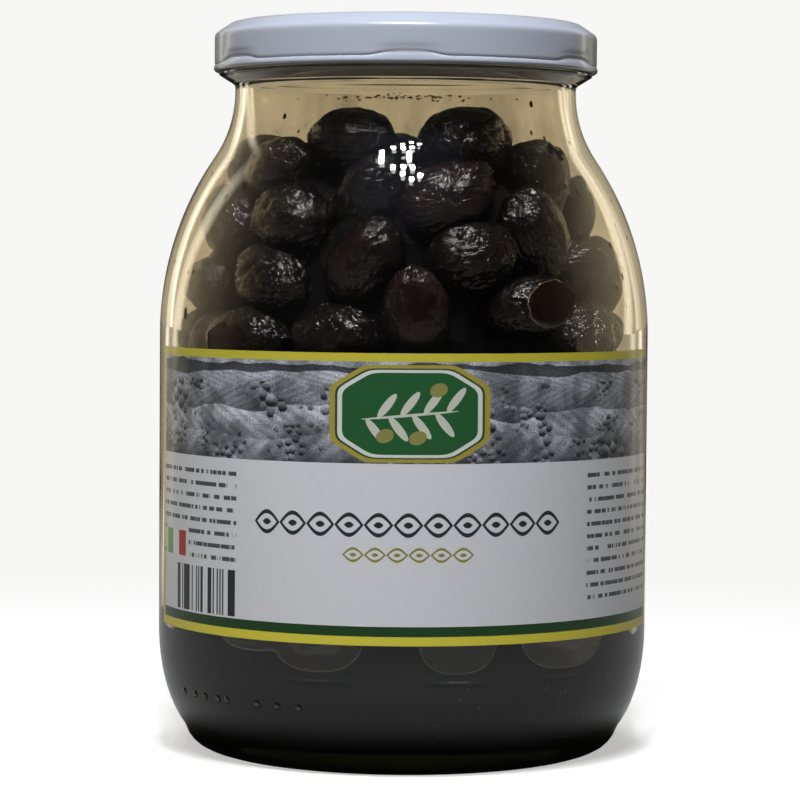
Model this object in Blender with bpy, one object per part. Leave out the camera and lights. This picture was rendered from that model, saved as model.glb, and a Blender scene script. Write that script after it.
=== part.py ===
"""A jar of whole black olives, in four pieces.

glass_jar  the blown glass jar, open at its mouth
lid        the pressed steel twist-off lid
label      the paper label, glued round the front of the body
olives     the heap of olives inside, fused to a smaller core

The jar stands on z = 0 with its axis on +Z, and its label faces -Y.
"""

import math
import random

import bmesh
import bpy
import numpy as np
from mathutils import Matrix, Vector

for old in list(bpy.data.objects):
    bpy.data.objects.remove(old, do_unlink=True)

# Driving dimensions, in millimetres

MM = 0.001
SIDES = 44

BODY_RADIUS = 54.4
WALL = 2.6
NECK_RADIUS = 37.9
NECK_TOP = 147.3
BEAD_RADIUS = 41.5
BEAD_Z = 149.9
FINISH_RADIUS = 40.2
BORE_RADIUS = 37.9
BORE_Z = 150.8
MOUTH_Z = 159.4

HEEL_TOP = 27.0
HEEL_BOTTOM = 5.8
HEEL_DEPTH = 12.0
HEEL_HEIGHT = 25.0
INNER_HEEL_DEPTH = 14.0
INNER_HEEL_HEIGHT = 21.0
FOOT_INNER = 38.0
FOOT_OUTER = 41.3
PUSH_UP = 3.5
FLOOR_Z = 7.6

SHOULDER_START = 92.5
SHOULDER_ARC = 69.0
NECK_ARC = 26.0

LID_RADIUS = 42.7
LID_BOTTOM = 150.3
LID_TOP = 161.3
LID_SHEET = 0.55
LID_CURL = 1.4
PANEL_RADIUS = 33.6
PANEL_DROP = 1.6
BUTTON_RADIUS = 16.0
BUTTON_RISE = 0.8

LABEL_BOTTOM = 29.1
LABEL_TOP = 89.8
LABEL_LEFT = math.radians(-73.5)
LABEL_RIGHT = math.radians(78.5)
LABEL_GAP = 0.3
LABEL_SHEET = 0.3
LABEL_STEPS = 22

OLIVE_LENGTH = 21.0
OLIVE_WIDTH = 14.6
OLIVE_SPREAD = 0.07
OLIVE_SIDES = 8
OLIVE_RINGS = 4
ROUNDNESS = 1.03
ROW_PITCH = 12.6
ROW_SPACING = 19.4
ROOM_ROUND_OLIVE = 11.5
FRONT_GIVE = 0.12
GLASS_CLEARANCE = 0.45
LABEL_MARGIN = math.radians(16)
LABEL_COVER = 12.0

BEARING_SPREAD = 0.16
HEIGHT_SPREAD = 1.6
LEAN_SPREAD = 26.0
STEEP_SHARE = 0.2
STEEP_LEAN = (55, 90)
TIP_SPREAD = 0.18
END_ON_SHARE = 0.1
END_ON_TIP = 1.6
TOP_PITCH = 16.5
TOP_ROW_STEP = 0.87
TOP_SPREAD = 1.5
TOP_HEIGHT_SPREAD = 4
TOP_TIP = 0.35
END_BALL = 0.8
SETTLE_ROUNDS = 60
PUSH_SHARE = 0.3
MOVE_SHARE = 0.5

CORE_DEPTH = 9.0
CORE_HEIGHTS = (14, 24, 58, 92.5, 104, 115, 122)
CORE_SIDES = 22
CORE_REACH = 9.0
CORE_UNDER = 3.0
HEAP_LEVEL = 129.5
HEAP_CROWN = 3.0
HEAP_RADIUS = 30.0
HEAP_THINNING = 0.7
SEED = 11

# Olives that show above the label, against the glass at the front:
# x, height, lean of the long axis from level, and its tilt towards the viewer in degrees
FRONT_OLIVES = [
    (-12.8, 132.5, 6, 0),
    (15.8, 131.8, -6, 0),
    (-25.7, 127.0, 20, 0),
    (27.0, 126.0, -55, 0),
    (-8.2, 119.5, 30, 45),
    (9.0, 120.5, 30, 10),
    (-24.2, 117.5, -15, 5),
    (13.5, 108.5, 5, 5),
    (29.0, 112.5, -60, 5),
    (-27.4, 104.8, -20, 10),
    (-8.8, 108.5, 75, 20),
    (36.5, 107.5, 0, 60),
    (23.5, 101.0, 10, 35),
    (2.5, 98.5, 80, 10),
    (-12.5, 94.2, 5, 0),
    (-31.0, 93.0, 10, 0),
]


# Outline of the jar

def shoulder_turn():
    """Angle from the vertical at which the shoulder's two arcs meet."""
    total = SHOULDER_ARC + NECK_ARC
    return math.acos((total - (BODY_RADIUS - NECK_RADIUS)) / total)


def shoulder(inset, steps_low, steps_high):
    """Points (r, z) up the shoulder, from the body to the neck, set in from the outer surface."""
    turn = shoulder_turn()
    low_centre = BODY_RADIUS - SHOULDER_ARC
    high_centre = NECK_RADIUS + NECK_ARC
    high_z = SHOULDER_START + (SHOULDER_ARC + NECK_ARC) * math.sin(turn)
    low_radius = SHOULDER_ARC - inset
    high_radius = NECK_ARC + inset
    points = []
    for step in range(steps_low + 1):
        angle = turn * step / steps_low
        points.append((low_centre + low_radius * math.cos(angle),
                       SHOULDER_START + low_radius * math.sin(angle)))
    for step in range(1, steps_high + 1):
        angle = turn * (1 - step / steps_high)
        points.append((high_centre - high_radius * math.cos(angle),
                       high_z - high_radius * math.sin(angle)))
    return points


def heel(radius, depth, height, bottom, steps):
    """Points (r, z) up the rounded heel, a quarter ellipse that ends on the straight body."""
    start = math.asin((HEEL_TOP - bottom) / height)
    points = []
    for step in range(steps + 1):
        angle = start * (1 - step / steps)
        points.append((radius - depth + depth * math.cos(angle),
                       HEEL_TOP - height * math.sin(angle)))
    return points


def outer_outline():
    """Outside of the glass from the middle of the base to the mouth."""
    outline = [(0, PUSH_UP), (FOOT_INNER - 5, PUSH_UP - 1), (FOOT_INNER, 0), (FOOT_OUTER, 0)]
    outline += [(FOOT_OUTER + 3.6, 0.5), (FOOT_OUTER + 6.3, 2.4)]
    outline += heel(BODY_RADIUS, HEEL_DEPTH, HEEL_HEIGHT, HEEL_BOTTOM, 4)
    outline += shoulder(0, 4, 3)
    outline += [(NECK_RADIUS, NECK_TOP), (BEAD_RADIUS, BEAD_Z)]
    outline += [(FINISH_RADIUS, BEAD_Z + 0.6), (FINISH_RADIUS, MOUTH_Z - 1.2)]
    outline += [(FINISH_RADIUS - 1.2, MOUTH_Z)]
    return outline


def inner_outline():
    """Inside of the glass from the middle of the floor to the mouth."""
    radius = BODY_RADIUS - WALL
    neck = NECK_RADIUS - WALL
    outline = [(0, FLOOR_Z), (FOOT_INNER - 7, FLOOR_Z - 1)]
    outline += heel(radius, INNER_HEEL_DEPTH, INNER_HEEL_HEIGHT, FLOOR_Z - 1.2, 3)
    outline += shoulder(WALL, 3, 3)
    outline += [(neck, BORE_Z - 2.2), (BORE_RADIUS, BORE_Z)]
    outline += [(BORE_RADIUS, MOUTH_Z - 1.0), (BORE_RADIUS + 0.7, MOUTH_Z)]
    return outline


INNER = inner_outline()


def inner_radius(z):
    """Radius of the faceted inside of the glass at height z; z may be an array."""
    radii = [point[0] for point in INNER[2:]]
    heights = [point[1] for point in INNER[2:]]
    return np.interp(z, heights, radii) * math.cos(math.pi / SIDES)


# Turned pieces

def make_object(name, bm, material):
    """Turn a bmesh into a named object with its material."""
    mesh = bpy.data.meshes.new(name)
    bm.to_mesh(mesh)
    bm.free()
    item = bpy.data.objects.new(name, mesh)
    bpy.context.scene.collection.objects.link(item)
    mesh.materials.append(material)
    return item


def turned(outline):
    """Spin a closed outline, given in millimetres, once round the Z axis."""
    bm = bmesh.new()
    corners = [bm.verts.new((r * MM, 0, z * MM)) for r, z in outline]
    edges = [bm.edges.new(pair) for pair in zip(corners, corners[1:])]
    bmesh.ops.spin(bm, geom=corners + edges, axis=(0, 0, 1), cent=(0, 0, 0),
                   angle=2 * math.pi, steps=SIDES, use_merge=True)
    bmesh.ops.remove_doubles(bm, verts=bm.verts, dist=0.01 * MM)
    bmesh.ops.recalc_face_normals(bm, faces=bm.faces)
    return bm


def smooth(item, angle):
    """Shade a round piece smooth and keep its edges sharper than the angle."""
    item.data.shade_smooth()
    item.data.set_sharp_from_angle(angle=math.radians(angle))


def surface(name, colour, roughness, metallic=0.0, transmission=0.0):
    """Material with the piece's own colour, roughness and metallic value."""
    material = bpy.data.materials.new(name)
    material.use_nodes = True
    shader = material.node_tree.nodes["Principled BSDF"]
    shader.inputs["Base Color"].default_value = (*colour, 1)
    shader.inputs["Roughness"].default_value = roughness
    shader.inputs["Metallic"].default_value = metallic
    shader.inputs["Transmission Weight"].default_value = transmission
    return material


def make_jar():
    """Glass jar: push-up base, rounded heel, straight body, soft shoulder, neck and finish."""
    outline = outer_outline() + INNER[::-1]
    material = surface("soda_lime_glass", (0.72, 0.66, 0.50), 0.05, transmission=1.0)
    jar = make_object("glass_jar", turned(outline), material)
    smooth(jar, 40)


def make_lid():
    """Twist-off lid: one pressed sheet with a recessed panel, a button and a rolled bottom edge."""
    panel = LID_TOP - PANEL_DROP
    crest = PANEL_RADIUS + 3.4
    inside = LID_RADIUS - LID_SHEET
    top = [(0, panel + BUTTON_RISE), (BUTTON_RADIUS - 5, panel + BUTTON_RISE - 0.1),
           (BUTTON_RADIUS, panel), (PANEL_RADIUS, panel), (PANEL_RADIUS + 1.8, LID_TOP - 0.5),
           (crest, LID_TOP), (LID_RADIUS - 3.8, LID_TOP - 0.3), (LID_RADIUS - 0.5, LID_TOP - 2.5),
           (LID_RADIUS, LID_TOP - 3.3)]
    curl = [(LID_RADIUS, LID_BOTTOM + 0.9), (LID_RADIUS - 0.6, LID_BOTTOM),
            (LID_RADIUS - LID_CURL, LID_BOTTOM + 0.3), (LID_RADIUS - LID_CURL, LID_BOTTOM + 1.4),
            (inside, LID_BOTTOM + 2.0)]
    under = [(inside, LID_TOP - 3.6), (LID_RADIUS - 1.1, LID_TOP - 2.9),
             (LID_RADIUS - 4.2, LID_TOP - 0.85), (PANEL_RADIUS + 2.2, LID_TOP - 0.85),
             (PANEL_RADIUS + 0.4, panel - LID_SHEET), (BUTTON_RADIUS, panel - LID_SHEET),
             (0, panel + BUTTON_RISE - LID_SHEET)]
    material = surface("white_enamelled_steel", (0.80, 0.83, 0.88), 0.28)
    lid = make_object("lid", turned(top + curl + under), material)
    smooth(lid, 40)


def make_label():
    """Paper label: a sheet bent round the front of the body, just clear of the glass."""
    inside = BODY_RADIUS + LABEL_GAP
    outside = inside + LABEL_SHEET
    bm = bmesh.new()
    section = [(inside, LABEL_BOTTOM), (outside, LABEL_BOTTOM), (outside, LABEL_TOP),
               (inside, LABEL_TOP)]
    corners = [bm.verts.new((r * math.sin(LABEL_LEFT) * MM, -r * math.cos(LABEL_LEFT) * MM, z * MM))
               for r, z in section]
    end = bm.faces.new(corners)
    bmesh.ops.spin(bm, geom=[end], axis=(0, 0, 1), cent=(0, 0, 0),
                   angle=LABEL_RIGHT - LABEL_LEFT, steps=LABEL_STEPS, use_duplicate=False)
    bmesh.ops.remove_doubles(bm, verts=bm.verts, dist=0.01 * MM)
    bmesh.ops.recalc_face_normals(bm, faces=bm.faces)
    material = surface("coated_label_paper", (0.78, 0.79, 0.80), 0.45)
    label = make_object("label", bm, material)
    smooth(label, 40)


# Heap of olives

def heap_top(x, y):
    """Height of the heap's top over the point (x, y), crowned in the middle."""
    return HEAP_LEVEL + HEAP_CROWN * max(0.0, 1 - (x * x + y * y) / HEAP_RADIUS ** 2)


def wall_ring(z):
    """Radius at which an olive's centre lies when it touches the glass at height z."""
    return float(inner_radius(z)) - OLIVE_WIDTH / 2 - GLASS_CLEARANCE


def lay_front():
    """Centres and long axes of the olives that show above the label."""
    centres = []
    axes = []
    for x, z, lean, tilt in FRONT_OLIVES:
        ring = wall_ring(z)
        outward = Vector((x, -math.sqrt(ring * ring - x * x), 0)) / ring
        along = Vector((-outward.y, outward.x, 0))
        level = along * math.cos(math.radians(tilt)) + outward * math.sin(math.radians(tilt))
        axis = level * math.cos(math.radians(lean)) + Vector((0, 0, math.sin(math.radians(lean))))
        centres.append(outward * ring + Vector((0, 0, z)))
        axes.append(axis.normalized())
    return centres, axes


def has_room(centre, others):
    """True where an olive centred here clears the others."""
    return all((centre - other).length > ROOM_ROUND_OLIVE for other in others)


def lay_wall_rows(draw, front):
    """Centres and long axes of the olives that lie against the glass, row above row."""
    centres = []
    axes = []
    half = OLIVE_WIDTH / 2
    row = 0
    z = FLOOR_Z + half + 0.4
    while z < HEAP_LEVEL - half:
        ring = wall_ring(z)
        count = round(2 * math.pi * ring / ROW_SPACING)
        for place in range(count):
            off = draw.uniform(-BEARING_SPREAD, BEARING_SPREAD)
            turn = 2 * math.pi * (place + 0.5 * (row % 2) + off) / count
            outward = Vector((math.cos(turn), math.sin(turn), 0))
            along = Vector((-math.sin(turn), math.cos(turn), 0))
            lean = math.radians(draw.gauss(0, LEAN_SPREAD))
            if draw.random() < STEEP_SHARE:
                lean = math.radians(draw.uniform(*STEEP_LEAN))
            axis = along * math.cos(lean) + Vector((0, 0, 1)) * math.sin(lean)
            tip = draw.gauss(0, TIP_SPREAD)
            if draw.random() < END_ON_SHARE:
                tip = END_ON_TIP
            axis = (axis + outward * tip).normalized()
            centre = outward * ring + Vector((0, 0, z + draw.uniform(-HEIGHT_SPREAD, HEIGHT_SPREAD)))
            if has_room(centre, front):
                centres.append(centre)
                axes.append(axis)
        z += ROW_PITCH
        row += 1
    return centres, axes


def lay_top(draw, others):
    """Centres and long axes of the olives that lie on top of the heap."""
    centres = []
    axes = []
    for row in range(-3, 4):
        for column in range(-3, 4):
            x = (column + 0.5 * (row % 2)) * TOP_PITCH + draw.uniform(-TOP_SPREAD, TOP_SPREAD)
            y = row * TOP_PITCH * TOP_ROW_STEP + draw.uniform(-TOP_SPREAD, TOP_SPREAD)
            z = heap_top(x, y) - OLIVE_WIDTH / 2 + draw.uniform(-TOP_HEIGHT_SPREAD, TOP_HEIGHT_SPREAD)
            turn = draw.uniform(0, math.pi)
            axis = Vector((math.cos(turn), math.sin(turn), draw.gauss(0, TOP_TIP)))
            centre = Vector((x, y, z))
            if math.hypot(x, y) < wall_ring(z) and has_room(centre, others):
                centres.append(centre)
                axes.append(axis.normalized())
    return centres, axes


def settle(centres, axes, half_length, half_width):
    """Push overlapping olives apart and off the glass, each taken as three balls in a row."""
    count = len(centres)
    give = np.ones((count, 1))
    give[:len(FRONT_OLIVES)] = FRONT_GIVE
    end_radius = END_BALL * half_width
    reach = half_length - end_radius
    radii = np.concatenate([half_width, end_radius, end_radius])
    owner = np.tile(np.arange(count), 3)
    own = owner[:, None] == owner[None, :]
    for _ in range(SETTLE_ROUNDS):
        balls = np.concatenate([centres, centres + axes * reach[:, None],
                                centres - axes * reach[:, None]])
        offset = balls[:, None] - balls[None, :]
        distance = np.linalg.norm(offset, axis=2) + 0.000001
        overlap = np.clip(radii[:, None] + radii[None, :] - distance, 0, None)
        overlap[own] = 0
        push = (offset * (overlap / distance)[:, :, None]).sum(axis=1) * PUSH_SHARE
        radial = np.hypot(balls[:, 0], balls[:, 1]) + 0.000001
        limit = inner_radius(balls[:, 2]) - GLASS_CLEARANCE - radii
        inward = np.clip(radial - limit, 0, None) / radial
        push[:, 0] -= balls[:, 0] * inward
        push[:, 1] -= balls[:, 1] * inward
        push[:, 2] += np.clip(FLOOR_Z + GLASS_CLEARANCE + radii - balls[:, 2], 0, None)
        middle, front, back = push[:count], push[count:2 * count], push[2 * count:]
        centres = centres + give * (middle + front + back) * MOVE_SHARE
        axes = axes + give * (front - back) * (MOVE_SHARE / reach)[:, None]
        axes = axes / np.linalg.norm(axes, axis=1)[:, None]
    return centres, axes


def lay_olives():
    """Every olive that shows, as centre, long axis, half length and half width."""
    draw = random.Random(SEED)
    centres, axes = lay_front()
    wall_centres, wall_axes = lay_wall_rows(draw, centres)
    centres += wall_centres
    axes += wall_axes
    top_centres, top_axes = lay_top(draw, centres)
    centres = np.array([tuple(point) for point in centres + top_centres])
    axes = np.array([tuple(axis) for axis in axes + top_axes])
    scale = np.array([1 + draw.uniform(-OLIVE_SPREAD, OLIVE_SPREAD) for _ in centres])
    thin = np.array([1 + draw.uniform(-OLIVE_SPREAD, OLIVE_SPREAD) for _ in centres])
    half_length = OLIVE_LENGTH / 2 * scale
    half_width = OLIVE_WIDTH / 2 * scale * thin
    centres, axes = settle(centres, axes, half_length, half_width)
    return centres, axes, half_length, half_width


def behind_label(centre):
    """True for an olive that the label hides from every side."""
    angle = math.atan2(centre[0], -centre[1])
    across = LABEL_LEFT + LABEL_MARGIN < angle < LABEL_RIGHT - LABEL_MARGIN
    return across and LABEL_BOTTOM + LABEL_COVER < centre[2] < LABEL_TOP - LABEL_COVER


def core_rings():
    """Rings (r, z or None for the uneven top) of the core that the olives are fused to."""
    bottom = FLOOR_Z + 2.0
    rings = [(18, bottom), (33, bottom)]
    for z in CORE_HEIGHTS:
        rings.append((float(inner_radius(z)) - CORE_DEPTH, z))
    rings += [(26, None), (14, None)]
    return rings


def core_top(x, y, centres):
    """Height of the core under the point (x, y), raised to reach the olives that lie above."""
    height = heap_top(x, y) - CORE_DEPTH
    for centre in centres:
        if math.hypot(centre[0] - x, centre[1] - y) < CORE_REACH:
            height = max(height, centre[2] - CORE_UNDER)
    return height


def make_core(centres):
    """Core of the heap: a closed turned form, smaller than the heap and uneven on top."""
    bm = bmesh.new()
    rows = []
    for radius, z in core_rings():
        row = []
        for side in range(CORE_SIDES):
            turn = 2 * math.pi * side / CORE_SIDES
            x = radius * math.cos(turn)
            y = radius * math.sin(turn)
            height = core_top(x, y, centres) if z is None else z
            row.append(bm.verts.new((x * MM, y * MM, height * MM)))
        rows.append(row)
    for low, high in zip(rows, rows[1:]):
        for side in range(CORE_SIDES):
            after = (side + 1) % CORE_SIDES
            bm.faces.new((low[side], low[after], high[after], high[side]))
    base = bm.verts.new((0, 0, (FLOOR_Z + 2.0) * MM))
    peak = bm.verts.new((0, 0, core_top(0, 0, centres) * MM))
    for side in range(CORE_SIDES):
        after = (side + 1) % CORE_SIDES
        bm.faces.new((base, rows[0][after], rows[0][side]))
        bm.faces.new((peak, rows[-1][side], rows[-1][after]))
    bmesh.ops.triangulate(bm, faces=bm.faces)
    bmesh.ops.recalc_face_normals(bm, faces=bm.faces)
    return bm


def make_olive(centre, axis, half_length, half_width):
    """One olive with few sides, pressed flat where it would reach the glass."""
    bm = bmesh.new()
    turn = Vector(axis).to_track_quat("Z", "Y").to_matrix().to_4x4()
    size = Matrix.Diagonal((half_width * ROUNDNESS, half_width * ROUNDNESS, half_length, 1))
    place = Matrix.Translation(Vector(centre)) @ turn @ size
    bmesh.ops.create_uvsphere(bm, u_segments=OLIVE_SIDES, v_segments=OLIVE_RINGS, radius=1,
                              matrix=place)
    bmesh.ops.triangulate(bm, faces=bm.faces)
    for corner in bm.verts:
        corner.co.z = max(corner.co.z, FLOOR_Z + GLASS_CLEARANCE)
        radial = math.hypot(corner.co.x, corner.co.y)
        limit = float(inner_radius(corner.co.z)) - GLASS_CLEARANCE
        if radial > limit:
            corner.co.x *= limit / radial
            corner.co.y *= limit / radial
        corner.co *= MM
    return bm


def keep_outer_shell(item):
    """Drop loose scraps and the shells of sealed hollows, and keep the one outer shell."""
    bm = bmesh.new()
    bm.from_mesh(item.data)
    bmesh.ops.remove_doubles(bm, verts=bm.verts, dist=0.02 * MM)
    left = set(bm.verts)
    shells = []
    while left:
        shell = {left.pop()}
        edge_of = list(shell)
        while edge_of:
            corner = edge_of.pop()
            for edge in corner.link_edges:
                other = edge.other_vert(corner)
                if other in left:
                    left.remove(other)
                    shell.add(other)
                    edge_of.append(other)
        shells.append(shell)
    shells.sort(key=len)
    for shell in shells[:-1]:
        bmesh.ops.delete(bm, geom=list(shell), context="VERTS")
    bmesh.ops.dissolve_limit(bm, angle_limit=math.radians(1), verts=bm.verts, edges=bm.edges)
    bmesh.ops.triangulate(bm, faces=bm.faces)
    bm.to_mesh(item.data)
    bm.free()


def make_heap():
    """The heap: the core with each olive that shows fused on by one Boolean union."""
    material = surface("black_olive_skin", (0.030, 0.022, 0.020), 0.32)
    laid = lay_olives()
    heap = make_object("olives", make_core(laid[0]), material)
    group = bpy.data.collections.new("loose_olives")
    bpy.context.scene.collection.children.link(group)
    number = 0
    for centre, axis, half_length, half_width in zip(*laid):
        if behind_label(centre):
            continue
        loose = make_object(f"loose_{number}", make_olive(centre, axis, half_length, half_width),
                            material)
        bpy.context.scene.collection.objects.unlink(loose)
        group.objects.link(loose)
        number += 1
    fuse = heap.modifiers.new("fuse", "BOOLEAN")
    fuse.operation = "UNION"
    fuse.operand_type = "COLLECTION"
    fuse.collection = group
    fuse.solver = "EXACT"
    bpy.context.view_layer.update()
    fused = bpy.data.meshes.new_from_object(heap.evaluated_get(bpy.context.evaluated_depsgraph_get()))
    heap.modifiers.clear()
    heap.data = fused
    for loose in list(group.objects):
        bpy.data.objects.remove(loose, do_unlink=True)
    bpy.data.collections.remove(group)
    keep_outer_shell(heap)
    smooth(heap, 60)
    thin = heap.modifiers.new("thin", "DECIMATE")
    thin.ratio = HEAP_THINNING


make_jar()
make_lid()
make_label()
make_heap()
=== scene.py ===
"""Looks of a shut glass jar of whole black olives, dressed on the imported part.

Lengths are in millimetres and are multiplied by MM, because Blender's unit here is the metre.
The jar stands on z = 0 with its axis on +Z, and its label faces -Y.
"""

import math
import random

import bpy
import numpy as np
from mathutils import Matrix, Vector, noise


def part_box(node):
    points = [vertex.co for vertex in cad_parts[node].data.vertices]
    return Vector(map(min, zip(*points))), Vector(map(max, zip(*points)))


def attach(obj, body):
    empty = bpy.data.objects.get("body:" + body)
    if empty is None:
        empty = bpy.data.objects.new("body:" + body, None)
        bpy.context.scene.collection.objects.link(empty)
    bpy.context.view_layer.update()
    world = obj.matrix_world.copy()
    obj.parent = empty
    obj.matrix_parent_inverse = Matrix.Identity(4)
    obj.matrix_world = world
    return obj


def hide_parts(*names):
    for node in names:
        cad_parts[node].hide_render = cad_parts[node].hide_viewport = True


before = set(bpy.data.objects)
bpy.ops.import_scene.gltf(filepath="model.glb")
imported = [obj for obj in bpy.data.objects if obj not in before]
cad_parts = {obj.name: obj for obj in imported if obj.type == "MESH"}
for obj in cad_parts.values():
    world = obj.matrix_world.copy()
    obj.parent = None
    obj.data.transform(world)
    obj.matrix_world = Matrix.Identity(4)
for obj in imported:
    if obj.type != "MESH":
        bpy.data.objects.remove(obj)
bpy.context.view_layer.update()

MM = 0.001


# Studio
# A pale floor, a cream room behind the jar, a dimmer one in front of it, and a cluster of small
# ceiling lamps above the camera. The camera stands level with the jar's shoulder.

CAMERA_DISTANCE = 690.0
CAMERA_HEIGHT = 111.1
CAMERA_ASIDE = -0.74
CAMERA_PITCH = 2.785
CAMERA_ROLL = 0.42
CAMERA_LENS = 138.8
LAMP_HEIGHT = 869.0
LAMP_RADIUS = 16.0
LAMP_POWER = 4.5
LAMPS = [(-17, -448), (40, -488), (95, -452), (-76, -395), (45, -400), (-142, -345), (-13, -325), (22, -345),
         (-13, -398)]
FILL_PLACE = (-640.0, -640.0, 420.0)
FILL_SIZE = 400.0
FILL_POWER = 1.0
LEFT_STREAK_ANGLE = 0.79
RIGHT_STREAK_ANGLE = 0.83
LEFT_STREAK_LEAN = 0.35
RIGHT_STREAK_LEAN = -0.4
EDGE_STREAK_ANGLE = 0.58
STREAK_GLOW = (2.3, 2.1, 1.7, 1.0)
CEILING_WAY = (0.0, -0.43, 0.9)
FLOOR_RADIUS = 6000.0


def from_hex(code):
    """Linear red, green, blue and full opacity from an sRGB hex colour."""
    channels = [int(code[place:place + 2], 16) / 255 for place in (0, 2, 4)]
    linear = [c / 12.92 if c <= 0.04045 else ((c + 0.055) / 1.055) ** 2.4 for c in channels]
    return (*linear, 1.0)


SMOOTH = {"interpolation_type": "SMOOTHSTEP"}


def add(tree, kind, *values, **named):
    """Add a node: values fill its inputs in order, capitalised names are inputs, the rest settings.

    A node or a socket is linked, and a hex text is a colour.
    """
    node = tree.nodes.new("ShaderNode" + kind)
    inputs = dict(enumerate(values))
    for name, value in named.items():
        if name[0].isupper():
            inputs[name] = value
        else:
            setattr(node, name, value)
    for key, value in inputs.items():
        if isinstance(value, str):
            value = from_hex(value)
        if isinstance(value, bpy.types.Node):
            value = value.outputs[0]
        if isinstance(value, bpy.types.NodeSocket):
            tree.links.new(value, node.inputs[key])
        else:
            node.inputs[key].default_value = value
    return node


def new_material(name, values):
    """A material with one Principled shader, its plain values set on the shader's own sockets."""
    material = bpy.data.materials.new(name)
    material.use_nodes = True
    shader = material.node_tree.nodes["Principled BSDF"]
    for socket, value in values.items():
        shader.inputs[socket].default_value = value
    return material, material.node_tree, shader


def feed(shader, socket, node):
    """Link a node's first output to one of the shader's inputs."""
    shader.id_data.links.new(node.outputs[0], shader.inputs[socket])


camera = bpy.data.objects.new("camera", bpy.data.cameras.new("camera"))
camera.data.lens = CAMERA_LENS
camera.data.sensor_width = 36.0
camera.matrix_world = (
    Matrix.Translation((CAMERA_ASIDE * MM, -CAMERA_DISTANCE * MM, CAMERA_HEIGHT * MM))
    @ Matrix.Rotation(math.radians(90 - CAMERA_PITCH), 4, "X")
    @ Matrix.Rotation(math.radians(CAMERA_ROLL), 4, "Z")
)
bpy.context.scene.collection.objects.link(camera)
bpy.context.scene.camera = camera
bpy.context.scene.view_settings.view_transform = "Standard"

jar_middle = Vector((0, 0, 80 * MM))


def hang_light(name, kind, place, energy, colour):
    """Add a light at a place in millimetres, turned to the middle of the jar."""
    light = bpy.data.objects.new(name, bpy.data.lights.new(name, kind))
    light.location = Vector(place) * MM
    light.rotation_euler = (jar_middle - light.location).to_track_quat("-Z", "Y").to_euler()
    light.data.energy = energy
    light.data.color = from_hex(colour)[:3]
    light.visible_camera = False
    bpy.context.scene.collection.objects.link(light)
    return light


for number, (aside, forward) in enumerate(LAMPS):
    lamp = hang_light(f"ceiling_lamp_{number}", "POINT", (aside, forward, LAMP_HEIGHT), LAMP_POWER, "F0F4FF")
    lamp.data.shadow_soft_size = LAMP_RADIUS * MM

fill = hang_light("left_fill", "AREA", FILL_PLACE, FILL_POWER, "FFFFFF")
fill.data.size = FILL_SIZE * MM
fill.visible_glossy = False
fill.visible_transmission = False

# The room by direction: a cream wall behind, a dim front that is lighter on the left, and, in what
# the glass mirrors, a soft pale streak on either side behind and a bluish glow round the lamps.
world = bpy.data.worlds.new("room")
bpy.context.scene.world = world
world.use_nodes = True
room = world.node_tree
way = add(room, "TexCoord").outputs["Generated"]
rays = add(room, "LightPath").outputs
facing = add(room, "SeparateXYZ", way)
behind = add(room, "MapRange", facing.outputs["Y"], -0.35, 0.45, **SMOOTH)
leftward = add(room, "MapRange", facing.outputs["X"], -0.9, 0.9)
soft_front = add(room, "MixRGB", leftward, "84868A", "2C2E32")
sharp_front = add(room, "MixRGB", leftward, "2C2E32", "121316")
# Matt things take their light from a brighter front than the one that the glass mirrors.
soft_ray = add(room, "Math", rays["Diffuse Depth"], 1.0, operation="MINIMUM")
front = add(room, "MixRGB", soft_ray, sharp_front, soft_front)
back_wall = add(room, "MixRGB", rays["Is Reflection Ray"], "CDC1A6", "6C6657")
ceiling = add(room, "MapRange", facing.outputs["Z"], 0.25, 0.8, 1.0, 0.15, **SMOOTH)
lit_wall = add(room, "Math", behind, ceiling, operation="MULTIPLY")
walls = add(room, "MixRGB", lit_wall, front, back_wall)
aside = add(room, "Math", facing.outputs["X"], operation="ABSOLUTE")
angle = add(room, "Math", aside, facing.outputs["Y"], operation="ARCTAN2")
level_angle = add(room, "MapRange", facing.outputs["X"], -0.01, 0.01, LEFT_STREAK_ANGLE, RIGHT_STREAK_ANGLE)
streak_lean = add(room, "MapRange", facing.outputs["X"], -0.01, 0.01, LEFT_STREAK_LEAN, RIGHT_STREAK_LEAN)
streak_angle = add(room, "Math", facing.outputs["Z"], streak_lean, level_angle, operation="MULTIPLY_ADD")
edge_share = add(room, "MapRange", facing.outputs["X"], -0.01, 0.01, 0.75, 0.25)
streak = None
for middle, share in ((streak_angle, 1.0), (EDGE_STREAK_ANGLE, edge_share)):
    off_streak = add(room, "Math", angle, middle, operation="SUBTRACT")
    off_size = add(room, "Math", off_streak, operation="ABSOLUTE")
    strip = add(room, "MapRange", off_size, 0.01, 0.08, share, 0.0, **SMOOTH)
    streak = add(room, "Math", strip, streak, operation="MAXIMUM") if streak else strip
streak_low = add(room, "MapRange", facing.outputs["Z"], -0.06, -0.01, **SMOOTH)
streak_top = add(room, "MapRange", facing.outputs["Z"], 0.4, 0.62, 1.0, 0.0, **SMOOTH)
streak_height = add(room, "Math", streak_low, streak_top, operation="MULTIPLY")
not_soft = add(room, "Math", 1.0, soft_ray, operation="SUBTRACT")
streak_share = add(room, "Math", streak, streak_height, operation="MULTIPLY")
streak_seen = add(room, "Math", streak_share, not_soft, operation="MULTIPLY")
streaked = add(room, "MixRGB", streak_seen, walls, STREAK_GLOW, blend_type="ADD")
mirrored_ray = add(room, "Math", not_soft, rays["Is Reflection Ray"], operation="MULTIPLY")
lampward = add(room, "VectorMath", way, CEILING_WAY, operation="DOT_PRODUCT")
glow_share = add(room, "MapRange", lampward.outputs["Value"], 0.86, 1.0, 0.0, 0.3, **SMOOTH)
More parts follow.
